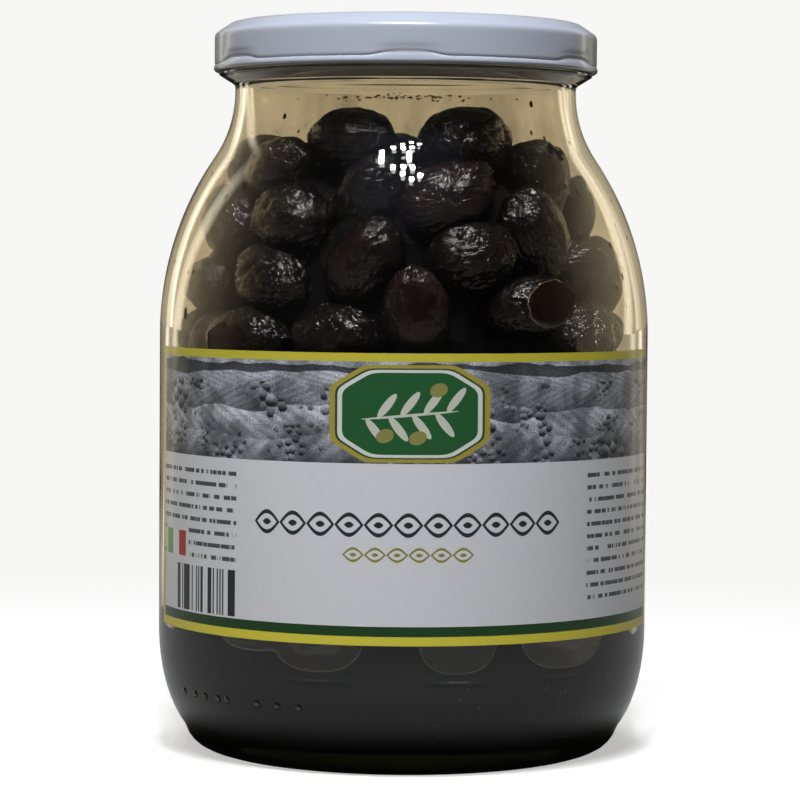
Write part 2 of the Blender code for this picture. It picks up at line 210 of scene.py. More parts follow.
glow_seen = add(room, "Math", glow_share, mirrored_ray, operation="MULTIPLY")
glowing = add(room, "MixRGB", glow_seen, streaked, "B4B8D8", blend_type="ADD")
seen = add(room, "MixRGB", rays["Is Camera Ray"], glowing, "F7F7F6")
room.links.new(seen.outputs[0], room.nodes["Background"].inputs["Color"])

# Painted board, matt. It takes the lamps' shadows near the jar and fades into the pale room.
board, tree, shader = new_material("painted_floor_board", {"Roughness": 0.9})
place = add(tree, "TexCoord").outputs["Object"]
speckle = add(tree, "TexNoise", place, Scale=900)
tint = add(tree, "MixRGB", speckle, "D9D6D0", "DFDCD7")
feed(shader, "Base Color", tint)
glow = add(tree, "Emission", "F4F4F3", 0.5)
lit = add(tree, "AddShader", shader, glow)
distance = add(tree, "VectorMath", place, operation="LENGTH")
fade = add(tree, "MapRange", distance.outputs["Value"], 0.12, 0.6, **SMOOTH)
far_floor = add(tree, "Emission", "F7F7F6", 1.0)
seen = add(tree, "MixShader", fade, lit, far_floor)
# The floor that the glass mirrors is painted near black within about 5 cm of the jar's axis. The floor that
# the glass shows through itself is painted near black within about 10 cm. Both are a painted shadow under
# the jar, fading to grey and cream further out.
painted_shadow_edge = add(tree, "MapRange", distance.outputs["Value"], 0.05, 0.066, **SMOOTH)
far_cream = add(tree, "MapRange", distance.outputs["Value"], 0.1, 0.28, **SMOOTH)
mirrored = add(tree, "MixRGB", painted_shadow_edge, "0E0E0C", "A3A4A4")
far_dim = add(tree, "MapRange", distance.outputs["Value"], 0.25, 0.8, **SMOOTH)
path = add(tree, "LightPath")
# What the upright glass mirrors of the far floor is dark, with the foot of the pale streaks on it.
floor_spot = add(tree, "SeparateXYZ", place)
floor_aside = add(tree, "Math", floor_spot.outputs["X"], operation="ABSOLUTE")
floor_angle = add(tree, "Math", floor_aside, floor_spot.outputs["Y"], operation="ARCTAN2")
far_mirror = "202123"
for middle in (LEFT_STREAK_ANGLE, EDGE_STREAK_ANGLE):
    off_foot = add(tree, "Math", floor_angle, middle, operation="SUBTRACT")
    foot_size = add(tree, "Math", off_foot, operation="ABSOLUTE")
    foot_share = add(tree, "MapRange", foot_size, 0.01, 0.09, 1.0, 0.0, **SMOOTH)
    far_mirror = add(tree, "MixRGB", foot_share, far_mirror, STREAK_GLOW)
reflected = add(tree, "MixRGB", far_dim, mirrored, far_mirror)
in_front = add(tree, "Math", floor_spot.outputs["Y"], 0.0, operation="LESS_THAN")
refracted = add(tree, "MixRGB", far_cream, "0E0E0C", "C2B9A4")
mirror_share = add(tree, "Math", path.outputs["Is Reflection Ray"], in_front, operation="MAXIMUM")
mirrored = add(tree, "MixRGB", mirror_share, refracted, reflected)
floor_tint = add(tree, "MixRGB", path.outputs["Is Diffuse Ray"], mirrored, "5E5B55")
dim = add(tree, "Emission", floor_tint, 1.0)
mixed = add(tree, "MixShader", path.outputs["Is Camera Ray"], dim, seen)
tree.links.new(mixed.outputs[0], tree.nodes["Material Output"].inputs["Surface"])

bpy.ops.object.select_all(action="DESELECT")
bpy.ops.mesh.primitive_circle_add(vertices=96, radius=FLOOR_RADIUS * MM, fill_type="NGON",
                                  location=(0, 0, -0.0001))
floor = bpy.context.object
floor.name = "floor"
bpy.ops.object.transform_apply(location=True)
floor.data.materials.append(board)


# The jar
# Blown soda-lime glass, clear, with a pushed-up base, a rounded heel, a soft shoulder and a bead
# under the lid. It is pressed to a gob and blown in a two-part mould, so its wall is uneven inside.

_, jar_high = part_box("glass_jar")
lid_low, lid_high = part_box("lid")
JAR_SIDES = 168
BODY_RADIUS = jar_high.x / MM
MOUTH_Z = jar_high.z / MM
WALL = 2.6
NECK_RADIUS = 37.9
BEAD_RADIUS = 41.5
BEAD_Z = 149.85
FINISH_RADIUS = 40.2
BORE_RADIUS = 37.9
BORE_Z = 150.8
HEEL_TOP = 27.0
HEEL_BOTTOM = 5.8
HEEL_DEPTH = 14.0
HEEL_HEIGHT = 21.0
PUSH_UP = 3.5
FLOOR_Z = 7.6
SHOULDER_START = 92.5
SHOULDER_ARC = 69.0
NECK_ARC = 26.0


def shoulder(inset, low_steps=20, high_steps=10):
    """Points (r, z) up the shoulder and neck, set in from the outer surface."""
    total = SHOULDER_ARC + NECK_ARC
    turn = math.acos((total - (BODY_RADIUS - NECK_RADIUS)) / total)
    points = []
    for step in range(low_steps + 1):
        angle = turn * step / low_steps
        points.append((BODY_RADIUS - SHOULDER_ARC + (SHOULDER_ARC - inset) * math.cos(angle),
                       SHOULDER_START + (SHOULDER_ARC - inset) * math.sin(angle)))
    top = SHOULDER_START + total * math.sin(turn)
    for step in range(1, high_steps + 1):
        angle = turn * (1 - step / high_steps)
        points.append((NECK_RADIUS + NECK_ARC - (NECK_ARC + inset) * math.cos(angle),
                       top - (NECK_ARC + inset) * math.sin(angle)))
    return points


def heel(radius, depth, height, bottom, steps=12):
    """Points (r, z) up the rounded heel, a quarter ellipse that ends on the straight body."""
    start = math.asin((HEEL_TOP - bottom) / height)
    points = []
    for step in range(steps + 1):
        angle = start * (1 - step / steps)
        points.append((radius - depth + depth * math.cos(angle), HEEL_TOP - height * math.sin(angle)))
    return points


def arc(centre, radius, start, end, steps):
    """Points (r, z) on an arc from one angle to another, in degrees from level."""
    turns = [math.radians(start + (end - start) * step / steps) for step in range(steps + 1)]
    return [(centre[0] + radius * math.cos(turn), centre[1] + radius * math.sin(turn)) for turn in turns]


outer_glass = [(2, PUSH_UP), (20, PUSH_UP - 0.2), (32, PUSH_UP - 0.9), (36.2, PUSH_UP - 2.2), (37.6, 0.5)]
outer_glass += [(38.4, 0.05), (39.2, 0), (40.6, 0), (41.8, 0.08), (43.2, 0.35), (44.6, 0.8), (45.9, 1.5)]
outer_glass += [(46.9, 2.4), (47.7, 3.5), (48.1, 4.4)]
outer_glass += heel(BODY_RADIUS, 12.0, 25.0, HEEL_BOTTOM)
outer_glass += [(BODY_RADIUS, height) for height in (40, 56, 72, 84)]
outer_glass += shoulder(0)
outer_glass += [(NECK_RADIUS, 146.9), (NECK_RADIUS + 0.1, 147.25), (NECK_RADIUS + 0.35, 147.6)]
outer_glass += [(NECK_RADIUS + 0.75, 147.9)]
outer_glass += arc((BEAD_RADIUS - 0.4, BEAD_Z), 0.4, -48, 90, 6)
outer_glass += [(FINISH_RADIUS + 0.3, BEAD_Z + 0.5), (FINISH_RADIUS, BEAD_Z + 0.8)]
outer_glass += [(FINISH_RADIUS, 155), (FINISH_RADIUS, MOUTH_Z - 1.4)]
outer_glass += arc((FINISH_RADIUS - 1.3, MOUTH_Z - 1.3), 1.3, 0, 90, 5)
inner_radius_low = BODY_RADIUS - WALL
inner_glass = [(2, FLOOR_Z), (18, FLOOR_Z - 0.3), (31, FLOOR_Z - 1)]
inner_glass += heel(inner_radius_low, HEEL_DEPTH, HEEL_HEIGHT, FLOOR_Z - 1.2)
inner_glass += [(inner_radius_low, height) for height in (40, 56, 72, 84)]
inner_glass += shoulder(WALL)
inner_glass += [(NECK_RADIUS - WALL, BORE_Z - 3.6), (NECK_RADIUS - WALL + 0.2, BORE_Z - 3.3)]
inner_glass += [(BORE_RADIUS + 2.2, BORE_Z - 1.35), (BORE_RADIUS + 2.3, BORE_Z - 1.1)]
inner_glass += [(BORE_RADIUS + 1.3, BORE_Z - 0.5), (BORE_RADIUS, BORE_Z + 0.1), (BORE_RADIUS, MOUTH_Z - 1.0)]
inner_glass += [(BORE_RADIUS + 0.25, MOUTH_Z - 0.3), (BORE_RADIUS + 0.7, MOUTH_Z)]


def raise_rings(name, outline, sides, closed):
    """Draw a small disc out ring by ring along an outline of (radius, height), as a turned form."""
    bpy.ops.object.select_all(action="DESELECT")
    radius, height = outline[0]
    bpy.ops.mesh.primitive_circle_add(vertices=sides, radius=radius * MM,
                                      fill_type="TRIFAN" if closed else "NOTHING",
                                      location=(0, 0, height * MM))
    piece = bpy.context.object
    piece.name = name
    piece.data.name = name
    bpy.ops.object.transform_apply(location=True)
    bpy.ops.object.mode_set(mode="EDIT")
    if closed:
        bpy.ops.mesh.region_to_loop()
    for (near, low), (far, high) in zip(outline, outline[1:]):
        bpy.ops.mesh.extrude_edges_move(TRANSFORM_OT_translate={"value": (0, 0, (high - low) * MM)})
        bpy.ops.transform.resize(value=(far / near, far / near, 1), center_override=(0, 0, high * MM))
    if closed:
        bpy.ops.mesh.extrude_edges_move()
        bpy.ops.mesh.merge(type="CENTER")
    bpy.ops.mesh.select_all(action="SELECT")
    bpy.ops.mesh.normals_make_consistent(inside=False)
    bpy.ops.object.mode_set(mode="OBJECT")
    return piece


def corners_of(piece):
    """The corners of a piece as rows of x, y, z in millimetres."""
    flat = np.empty(len(piece.data.vertices) * 3, np.float32)
    piece.data.vertices.foreach_get("co", flat)
    return flat.reshape(-1, 3).astype(float) / MM


def move_corners(piece, points):
    """Put the corners of a piece at these places in millimetres."""
    piece.data.vertices.foreach_set("co", (points * MM).astype(np.float32).ravel())
    piece.data.update()


def note_on_corners(piece, name, kind, values):
    """Keep a value for each corner of a piece, which its material reads."""
    kept = piece.data.attributes.new(name, kind, "POINT")
    kept.data.foreach_set("vector" if kind == "FLOAT_VECTOR" else "value", values.astype(np.float32).ravel())


def finish_piece(piece, material, angle):
    """Give a piece its material, shade it smooth up to an angle and fix it to the jar's body."""
    bpy.ops.object.select_all(action="DESELECT")
    piece.select_set(True)
    bpy.context.view_layer.objects.active = piece
    bpy.ops.object.shade_smooth_by_angle(angle=math.radians(angle))
    piece.data.materials.clear()
    piece.data.materials.append(material)
    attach(piece, "root")


jar = raise_rings("jar", outer_glass + inner_glass[::-1], JAR_SIDES, True)

# Soda-lime glass, blown: clear, IOR 1.52, faintly warm, with the slow waves that a mould leaves. In
# the foot, below about 7 mm, it turns dark green-grey: partly the green of thick glass, partly painted
# shade.
glass, tree, shader = new_material("blown_soda_lime_glass", {
    "Transmission Weight": 1.0, "IOR": 1.52, "Roughness": 0.0})
place = add(tree, "TexCoord").outputs["Object"]
glass_spot = add(tree, "SeparateXYZ", place)
foot_end = add(tree, "MapRange", glass_spot.outputs["Z"], 0.0045, 0.0075, **SMOOTH)
glass_tint_and_foot_shade = add(tree, "MixRGB", foot_end, "4E5446", "F6F0E2")
feed(shader, "Base Color", glass_tint_and_foot_shade)
waves = add(tree, "TexNoise", place, Scale=55.0, Detail=1.0)
relief = add(tree, "Bump", Strength=0.06, Distance=0.001, Height=waves)
feed(shader, "Normal", relief)
finish_piece(jar, glass, 50)
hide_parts("glass_jar")
jar.visible_shadow = False


# The lid
# Tinplate pressed in one piece, white enamel fired on both faces, with a recessed panel and a
# safety button. Its skirt is rolled to a curl at the bottom, crimped inwards at six lugs.

LID_RADIUS = lid_high.x / MM
LID_TOP = lid_high.z / MM
LID_BOTTOM = lid_low.z / MM
PANEL_Z = LID_TOP - 1.6
LUGS = 6
LUG_HALF_WIDTH = 11.5
LUG_RISE = 1.1
LUG_DEPTH = 0.17
LUG_START = -89.3
LUG_REACH = 4.2
CURL_RISE = 0.9
SKIRT_DROP = 4.0

lid_outline = [(2, PANEL_Z + 0.8), (8, PANEL_Z + 0.78), (11, PANEL_Z + 0.7), (13.5, PANEL_Z + 0.35)]
lid_outline += [(16, PANEL_Z), (22, PANEL_Z), (28, PANEL_Z), (33.0, PANEL_Z), (34.2, PANEL_Z + 0.2)]
lid_outline += [(35.0, PANEL_Z + 0.8), (35.8, LID_TOP - 0.35), (36.4, LID_TOP - 0.06), (37.0, LID_TOP)]
lid_outline += [(37.9, LID_TOP - 0.08), (38.6, LID_TOP - 0.24), (39.2, LID_TOP - 0.55)]
lid_outline += [(40.2, LID_TOP - 1.2), (41.2, LID_TOP - 1.87), (41.8, LID_TOP - 2.28)]
lid_outline += [(42.1, LID_TOP - 2.52), (42.32, LID_TOP - 2.8)]
lid_outline += [(LID_RADIUS - 0.24, LID_TOP - 3.15), (LID_RADIUS - 0.2, LID_TOP - 3.7)]
lid_outline += [(LID_RADIUS - 0.2, LID_TOP - z) for z in (4.6, 5.6, 6.4, 7.1, 7.6, 8.1, 8.6, 9.1)]
lid_outline += [(LID_RADIUS - 0.28, LID_BOTTOM + 1.72), (LID_RADIUS - 0.4, LID_BOTTOM + 1.56)]
lid_outline += [(LID_RADIUS - 0.3, LID_BOTTOM + 1.4), (LID_RADIUS - 0.12, LID_BOTTOM + 1.2)]
lid_outline += arc((LID_RADIUS - 0.72, LID_BOTTOM + 0.72), 0.72, 30, -90, 6)
lid_outline += [(LID_RADIUS - 1.2, LID_BOTTOM + 0.2), (LID_RADIUS - 1.4, LID_BOTTOM + 0.8)]
lid_outline += [(LID_RADIUS - 1.2, LID_BOTTOM + 1.4), (LID_RADIUS - 0.8, LID_BOTTOM + 2.0)]
lid_outline += [(LID_RADIUS - 0.9, LID_TOP - 3.6), (LID_RADIUS - 1.4, LID_TOP - 3.0), (38.4, LID_TOP - 0.9)]
lid_outline += [(36.2, LID_TOP - 0.8), (34.4, PANEL_Z - 0.5), (33, PANEL_Z - 0.55), (16, PANEL_Z - 0.55)]
lid_outline += [(2, PANEL_Z + 0.2)]
lid = raise_rings("twist_off_lid", lid_outline, 240, True)

points = corners_of(lid)
reach = np.hypot(points[:, 0], points[:, 1])
turn = np.degrees(np.arctan2(points[:, 1], points[:, 0]))
off_lug = (turn - LUG_START + 180 / LUGS) % (360 / LUGS) - 180 / LUGS
near_lug = np.clip(1 - np.abs(off_lug / LUG_HALF_WIDTH) ** 3, 0, 1) ** 1.5
on_skirt = (reach > LID_RADIUS - 2.0) & (points[:, 2] < LID_TOP - SKIRT_DROP)
from_bottom = points[:, 2] - LID_BOTTOM
lift = np.clip((from_bottom - CURL_RISE) / CURL_RISE, 0, 1) * np.clip((LUG_REACH - from_bottom) / 2.4, 0, 1)
points[:, 2] += np.where(on_skirt, LUG_RISE * near_lug * lift, 0)
press = LUG_DEPTH * near_lug * np.clip((LUG_REACH - from_bottom) / 1.6, 0, 1)
shrink = np.where(on_skirt, 1 - press / np.maximum(reach, 1), 1)
points[:, :2] *= shrink[:, None]
move_corners(lid, points)

# White enamel, fired: glossy, faintly blue, a little clouded, with the fine ripple of a fired coat.
enamel, tree, shader = new_material("white_enamelled_tinplate", {
    "Roughness": 0.26, "Coat Weight": 0.3, "Coat Roughness": 0.08})
place = add(tree, "TexCoord").outputs["Object"]
cloud = add(tree, "TexNoise", place, Scale=60.0, Detail=3.0)
tint = add(tree, "MixRGB", cloud, "B2B7C0", "B9BEC7")
feed(shader, "Base Color", tint)
peel = add(tree, "TexNoise", place, Scale=700.0, Detail=2.0)
relief = add(tree, "Bump", Strength=0.06, Distance=0.0005, Height=peel)
feed(shader, "Normal", relief)
finish_piece(lid, enamel, 35)
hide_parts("lid")


# The label
# Coated paper, printed and glued round the front of the body. A grey landscape lies behind a
# green plaque at the top, the middle is white, and green and yellow bands close the foot.

label_low, label_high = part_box("label")
LABEL_BOTTOM = label_low.z / MM
LABEL_TOP = label_high.z / MM
LABEL_LEFT = math.radians(-73.5)
LABEL_RIGHT = math.radians(78.5)
LABEL_INSIDE = BODY_RADIUS + 0.04
PAPER = 0.11
YELLOW_RIM = 1.75
FOOT_YELLOW = 1.9
FOOT_GREEN = 2.1
PICTURE_BOTTOM = 66.95
CHAIN_MIDDLE = 1.2

bpy.ops.object.select_all(action="DESELECT")
bpy.ops.mesh.primitive_grid_add(x_subdivisions=150, y_subdivisions=24, size=1)
label = bpy.context.object
label.name = "paper_label"
points = corners_of(label) * MM + 0.5
turn = LABEL_LEFT + (LABEL_RIGHT - LABEL_LEFT) * points[:, 0]
height = LABEL_BOTTOM + (LABEL_TOP - LABEL_BOTTOM) * points[:, 1]
reach = LABEL_INSIDE + 0.02 * np.sin(turn * 9 + height * 0.11)
move_corners(label, np.column_stack([reach * np.sin(turn), -reach * np.cos(turn), height]))
sheet = label.modifiers.new("paper", "SOLIDIFY")
sheet.thickness = PAPER * MM
sheet.offset = 1.0
bpy.ops.object.modifier_apply(modifier="paper")

# Coated paper, offset printed: satin, with a faint fibre that shows only in raking light.
paper, tree, shader = new_material("printed_coated_paper", {
    "Roughness": 0.42, "Coat Weight": 0.22, "Coat Roughness": 0.16})
place = add(tree, "TexCoord").outputs["Object"]
parts = add(tree, "SeparateXYZ", place)
back = add(tree, "Math", parts.outputs["Y"], -1.0, operation="MULTIPLY")
bearing = add(tree, "Math", parts.outputs["X"], back, operation="ARCTAN2")
across = add(tree, "Math", bearing, BODY_RADIUS, operation="MULTIPLY")
up = add(tree, "Math", parts.outputs["Z"], MM, operation="DIVIDE")
flat = add(tree, "CombineXYZ", across, up)


# A mask is one where a colour is printed and nought elsewhere: COMPARE gives one within a half size
# of a middle, MULTIPLY the overlap of two masks, and MixRGB prints a colour over what lies under it.
def block(middle_u, middle_v, half_u, half_v):
    """Mask of an upright block: its middle and half sizes in millimetres."""
    in_width = add(tree, "Math", across, middle_u, half_u, operation="COMPARE")
    in_height = add(tree, "Math", up, middle_v, half_v, operation="COMPARE")
    return add(tree, "Math", in_width, in_height, operation="MULTIPLY")


def oval(middle, size, lean):
    """Mask of an oval: its middle and half sizes in millimetres and its lean in degrees."""
    local = add(tree, "Mapping", flat, Location=(*middle, 0), Rotation=(0, 0, math.radians(lean)),
                Scale=(*size, 1), vector_type="TEXTURE")
    far = add(tree, "VectorMath", local, operation="LENGTH")
    return add(tree, "Math", far.outputs["Value"], 1.0, operation="LESS_THAN")


# The landscape: a pale sky and five ridges of ploughed fields with a few round trees: height and
# swing of a ridge, its pace, its crest and foot tones, the lean and scale of its furrows
RIDGES = [(87.2, 2.2, 0.06, "3C3E41", "5C5E61", 4, 0.5), (85.4, 2.6, 0.03, "A6A8AC", "7C7E82", 14, 0.3),
          (82.0, 4.4, 0.034, "8A8C90", "4E5054", -22, 0.24), (77.6, 5.2, 0.03, "B8BABE", "6A6C70", 32, 0.17),
          (72.6, 4.8, 0.026, "9A9CA0", "3E4044", -38, 0.12)]
clouds = add(tree, "TexNoise", flat, Scale=0.07, Detail=3.0)
picture = add(tree, "MixRGB", clouds, "7A7C80", "A9ABAF")
grain = add(tree, "TexNoise", flat, Scale=2.4, Detail=5.0, Roughness=0.8, noise_dimensions="2D")
hard_grain = add(tree, "MapRange", grain, 0.36, 0.64, 0.08, 1.0)
ragged_place = add(tree, "VectorMath", grain.outputs["Color"], (1.3, 1.3, 0), flat, operation="MULTIPLY_ADD")
for number, (base, swing, pace, crest_tone, foot_tone, lean, furrow) in enumerate(RIDGES):
    line = add(tree, "Math", across, pace, 7.3 * number, operation="MULTIPLY_ADD")
    swell = add(tree, "TexNoise", W=line, Scale=1.0, Detail=2.5, noise_dimensions="1D")
    crest = add(tree, "Math", swell, 2 * swing, base - swing, operation="MULTIPLY_ADD")
    mask = add(tree, "Math", up, crest, operation="LESS_THAN")
    below = add(tree, "Math", crest, up, operation="SUBTRACT")
    fall = add(tree, "MapRange", below, 0.0, 6.5)
    slope = add(tree, "MixRGB", fall, crest_tone, foot_tone)
    turned = add(tree, "Mapping", ragged_place, Rotation=(0, 0, math.radians(lean)))
    furrows = add(tree, "TexWave", turned, Scale=furrow, Distortion=1.6, bands_direction="Y")
    ploughed = add(tree, "MixRGB", 0.32, slope, furrows, blend_type="MULTIPLY")
    picture = add(tree, "MixRGB", mask, picture, ploughed)
# A tree is a round crown, pale where the light strikes its top and nearly black underneath.
for tree_scale, patch_scale in ((0.34, 0.07), (0.55, 0.11)):
    crowns = add(tree, "TexVoronoi", ragged_place, Scale=tree_scale, Randomness=0.9, voronoi_dimensions="2D")
    groves = add(tree, "TexNoise", flat, Scale=patch_scale, noise_dimensions="2D")
    crown_size = add(tree, "MapRange", groves, 0.5, 0.64, 0.0, 0.5)
    crown = add(tree, "Math", crowns.outputs["Distance"], crown_size, operation="LESS_THAN")
    under_sky = add(tree, "Math", up, 83.5, operation="LESS_THAN")
    on_crown = add(tree, "VectorMath", ragged_place, crowns.outputs["Position"], operation="SUBTRACT")
    rise = add(tree, "SeparateXYZ", on_crown)
    light = add(tree, "MapRange", rise.outputs["Y"], -0.2 / tree_scale, 0.45 / tree_scale)
    leaves = add(tree, "MixRGB", light, "161718", "A0A2A6")
    crown_seen = add(tree, "Math", under_sky, crown, operation="MULTIPLY")
    picture = add(tree, "MixRGB", crown_seen, picture, leaves)
fields = add(tree, "TexNoise", flat, Scale=0.16, Detail=2.0, noise_dimensions="2D")
field_tone = add(tree, "MapRange", fields, 0.36, 0.64, 0.14, 1.0)
broad = add(tree, "MixRGB", 0.55, picture, field_tone, blend_type="OVERLAY")
dusk = add(tree, "MixRGB", 0.55, broad, hard_grain, blend_type="OVERLAY")

label_mid = (LABEL_LEFT + LABEL_RIGHT) / 2 * BODY_RADIUS
label_half = (LABEL_RIGHT - LABEL_LEFT) / 2 * BODY_RADIUS
fibre = add(tree, "TexNoise", flat, Scale=0.5, Detail=5.0)
white = add(tree, "MixRGB", fibre, "DBDBDA", "E2E2E1")
picture_half = (LABEL_TOP - PICTURE_BOTTOM) / 2
in_picture = add(tree, "Math", up, (PICTURE_BOTTOM + LABEL_TOP) / 2, picture_half, operation="COMPARE")
print_layer = add(tree, "MixRGB", in_picture, white, dusk)

# Small print as broken grey rules, a block of bars and a small three-colour chip.
BARS = (-49.0, 38.4, 10.7, 4.9)
SMALL_PRINT = [(-53.0, 54.6, 15.0, 10.4), (58.5, 50.7, 15.0, 14.3)]
line_number = add(tree, "Math", up, 2.6, operation="DIVIDE")
line_row = add(tree, "Math", line_number, operation="FLOOR")
line_part = add(tree, "Math", line_number, operation="FRACT")
in_line = add(tree, "Math", line_part, 0.5, 0.17, operation="COMPARE")
word_place = add(tree, "CombineXYZ", across, line_row)
words = add(tree, "TexNoise", word_place, Scale=0.8, Detail=3.5, noise_dimensions="2D")
in_word = add(tree, "Math", words, 0.45, operation="GREATER_THAN")
ink_lines = add(tree, "Math", in_line, in_word, operation="MULTIPLY")
for place_of_print in SMALL_PRINT:
    small_print = add(tree, "Math", block(*place_of_print), ink_lines, operation="MULTIPLY")
    print_layer = add(tree, "MixRGB", small_print, print_layer, "4C5055")
bar_number = add(tree, "Math", across, 2.3, 400.0, operation="MULTIPLY_ADD")
bar_slot = add(tree, "Math", bar_number, operation="FLOOR")
bar_draw = add(tree, "TexWhiteNoise", W=bar_slot, noise_dimensions="1D")
in_bar = add(tree, "Math", bar_draw, 0.48, operation="GREATER_THAN")
bars = add(tree, "Math", in_bar, block(*BARS), operation="MULTIPLY")
print_layer = add(tree, "MixRGB", bars, print_layer, "26282B")
CHIP_GROUND = (-60.8, 47.7, 6.4, 3.9)
CHIP_HALF = (1.7, 2.7)
CHIP = [(-64.2, "5C9A4E"), (-60.8, "E8E8E4"), (-57.4, "B4302A")]
print_layer = add(tree, "MixRGB", block(*CHIP_GROUND), print_layer, white)
for chip_u, tone in CHIP:
    print_layer = add(tree, "MixRGB", block(chip_u, CHIP_GROUND[1], *CHIP_HALF), print_layer, tone)

# A chain of pointed links with a dot in each, in dark green, and a shorter yellow chain under it:
# middle height, links, length of a link, half height and colour
CHAINS = [(54.2, 11, 6.2, 2.55, "1E2825"), (48.0, 6, 4.6, 1.55, "8F8B35")]
for row_v, links, link, tall, tone in CHAINS:
    turns = add(tree, "Math", across, math.pi / link, math.pi * (links / 2 - CHAIN_MIDDLE / link),
                operation="MULTIPLY_ADD")
    wave = add(tree, "Math", turns, operation="SINE")
    room_up = add(tree, "Math", wave, operation="ABSOLUTE")
    rise = add(tree, "Math", up, row_v, operation="SUBTRACT")
    tall_way = add(tree, "Math", rise, tall, operation="DIVIDE")
    tall_size = add(tree, "Math", tall_way, operation="ABSOLUTE")
    off_line = add(tree, "Math", room_up, tall_size, operation="SUBTRACT")
    outline = add(tree, "Math", off_line, 0.17, 0.17, operation="COMPARE")
    crest_near = add(tree, "Math", tall_size, 0.55, operation="MULTIPLY")
    crest_size = add(tree, "Math", room_up, crest_near, operation="SUBTRACT")
    dot = add(tree, "Math", crest_size, 0.86, operation="GREATER_THAN")
    inked = add(tree, "Math", outline, dot, operation="MAXIMUM")
    in_chain = add(tree, "Math", across, CHAIN_MIDDLE, links * link / 2, operation="COMPARE")
    shape = add(tree, "Math", inked, in_chain, operation="MULTIPLY")
    print_layer = add(tree, "MixRGB", shape, print_layer, tone)

# The plaque: a plate with cut corners in green, a cream line and a yellow edge, with an olive sprig.
PLAQUE_MIDDLE = (1.4, 77.3)
PLAQUE_HALF = (16.9, 10.1)
local = add(tree, "Mapping", flat, Location=(*PLAQUE_MIDDLE, 0), Scale=(*PLAQUE_HALF, 1),
            vector_type="TEXTURE")
size = add(tree, "VectorMath", local, operation="ABSOLUTE")
sides = add(tree, "SeparateXYZ", size)
longest = add(tree, "Math", sides.outputs["X"], sides.outputs["Y"], operation="MAXIMUM")
slant = add(tree, "Math", sides.outputs["X"], sides.outputs["Y"], operation="ADD")
cut = add(tree, "Math", slant, 0.64, operation="MULTIPLY")
plate = add(tree, "Math", longest, cut, 0.12, operation="SMOOTH_MAX")
for limit, tone in [(1.0, "A79B3A"), (0.93, "2C4A2B"), (0.9, "D9DCD0"), (0.84, "1F5A2C")]:
    inside = add(tree, "Math", plate, limit, operation="LESS_THAN")
    print_layer = add(tree, "MixRGB", inside, print_layer, tone)
sprig_u, sprig_v = PLAQUE_MIDDLE
stem = oval((sprig_u, sprig_v - 0.3), (10.2, 0.28), 5)
print_layer = add(tree, "MixRGB", stem, print_layer, "C9CDB8")
for number in range(8):
    along = -8.6 + 2.4 * number
    tip = 1 if number % 2 else -1
    leaf = oval((sprig_u + along + 1.4, sprig_v + 0.09 * along + 2.5 * tip - 0.3), (3.1, 0.85), 52 * tip)
    print_layer = add(tree, "MixRGB", leaf, print_layer, "C9CDB8")
for fruit_u, fruit_v in [(-5.2, -4.6), (1.6, -5.0), (5.9, 4.9)]:
    fruit = oval((sprig_u + fruit_u, sprig_v + fruit_v), (1.9, 1.4), 20)
    print_layer = add(tree, "MixRGB", fruit, print_layer, "8C8A4A")

# The yellow rim all round, and the green and yellow bands at the foot.
green_middle = LABEL_BOTTOM + FOOT_YELLOW + FOOT_GREEN / 2
foot_green = add(tree, "Math", up, green_middle, FOOT_GREEN / 2, operation="COMPARE")
print_layer = add(tree, "MixRGB", foot_green, print_layer, "0F3C0D")
foot_yellow = add(tree, "Math", up, LABEL_BOTTOM + FOOT_YELLOW, operation="LESS_THAN")
top_yellow = add(tree, "Math", up, LABEL_TOP - YELLOW_RIM, operation="GREATER_THAN")
within = add(tree, "Math", across, label_mid, label_half - YELLOW_RIM, operation="COMPARE")
side_yellow = add(tree, "Math", 1.0, within, operation="SUBTRACT")
yellow = add(tree, "MixRGB", fibre, "C6BB36", "CEC33C")
for edge, ink in ((top_yellow, yellow), (side_yellow, yellow), (foot_yellow, "DDD040")):
    print_layer = add(tree, "MixRGB", edge, print_layer, ink)
feed(shader, "Base Color", print_layer)
relief = add(tree, "Bump", Strength=0.05, Distance=0.0003, Height=fibre)
feed(shader, "Normal", relief)
finish_piece(label, paper, 40)
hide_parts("label")


# The olives
# Whole black olives, baked until the skin wrinkles, wet with oil. They lie pressed against the
# glass in uneven rows, with a dark heap inside and an uneven top under the neck.

SEED = 11
OLIVE_LENGTH = 21.0
OLIVE_WIDTH = 14.6
OLIVE_SPREAD = 0.07
ROW_PITCH = 12.6
ROW_SPACING = 19.4
ROOM_ROUND_OLIVE = 11.5
FRONT_GIVE = 0.12
GLASS_CLEARANCE = 0.45
HEAP_LEVEL = 129.5
HEAP_CROWN = 3.0
HEAP_RADIUS = 30.0
CAD_SIDES = 44

# Olives in the rows on the wall: the gap under the lowest row, how far one strays along its row and in
# height, how much it leans, how many stand steeply, how far an end tips inwards, how many lie end on
FIRST_ROW_LIFT = 0.4
BEARING_SPREAD = 0.16
HEIGHT_SPREAD = 1.6
LEAN_SPREAD = 26
STEEP_SHARE = 0.2
STEEP_LEAN = (55, 90)
TIP_SPREAD = 0.18
END_ON_SHARE = 0.1
END_ON_TIP = 1.6

# Olives on top of the heap: their pitch, the share of it between rows, and how far one strays
TOP_PITCH = 16.5
TOP_ROW_STEP = 0.87
TOP_SPREAD = 1.5
TOP_HEIGHT_SPREAD = 4
TOP_TIP = 0.35

# How the olives settle: the balls at an olive's ends, the rounds, and the shares of each push
END_BALL = 0.8
SETTLE_ROUNDS = 60
PUSH_SHARE = 0.3
MOVE_SHARE = 0.5

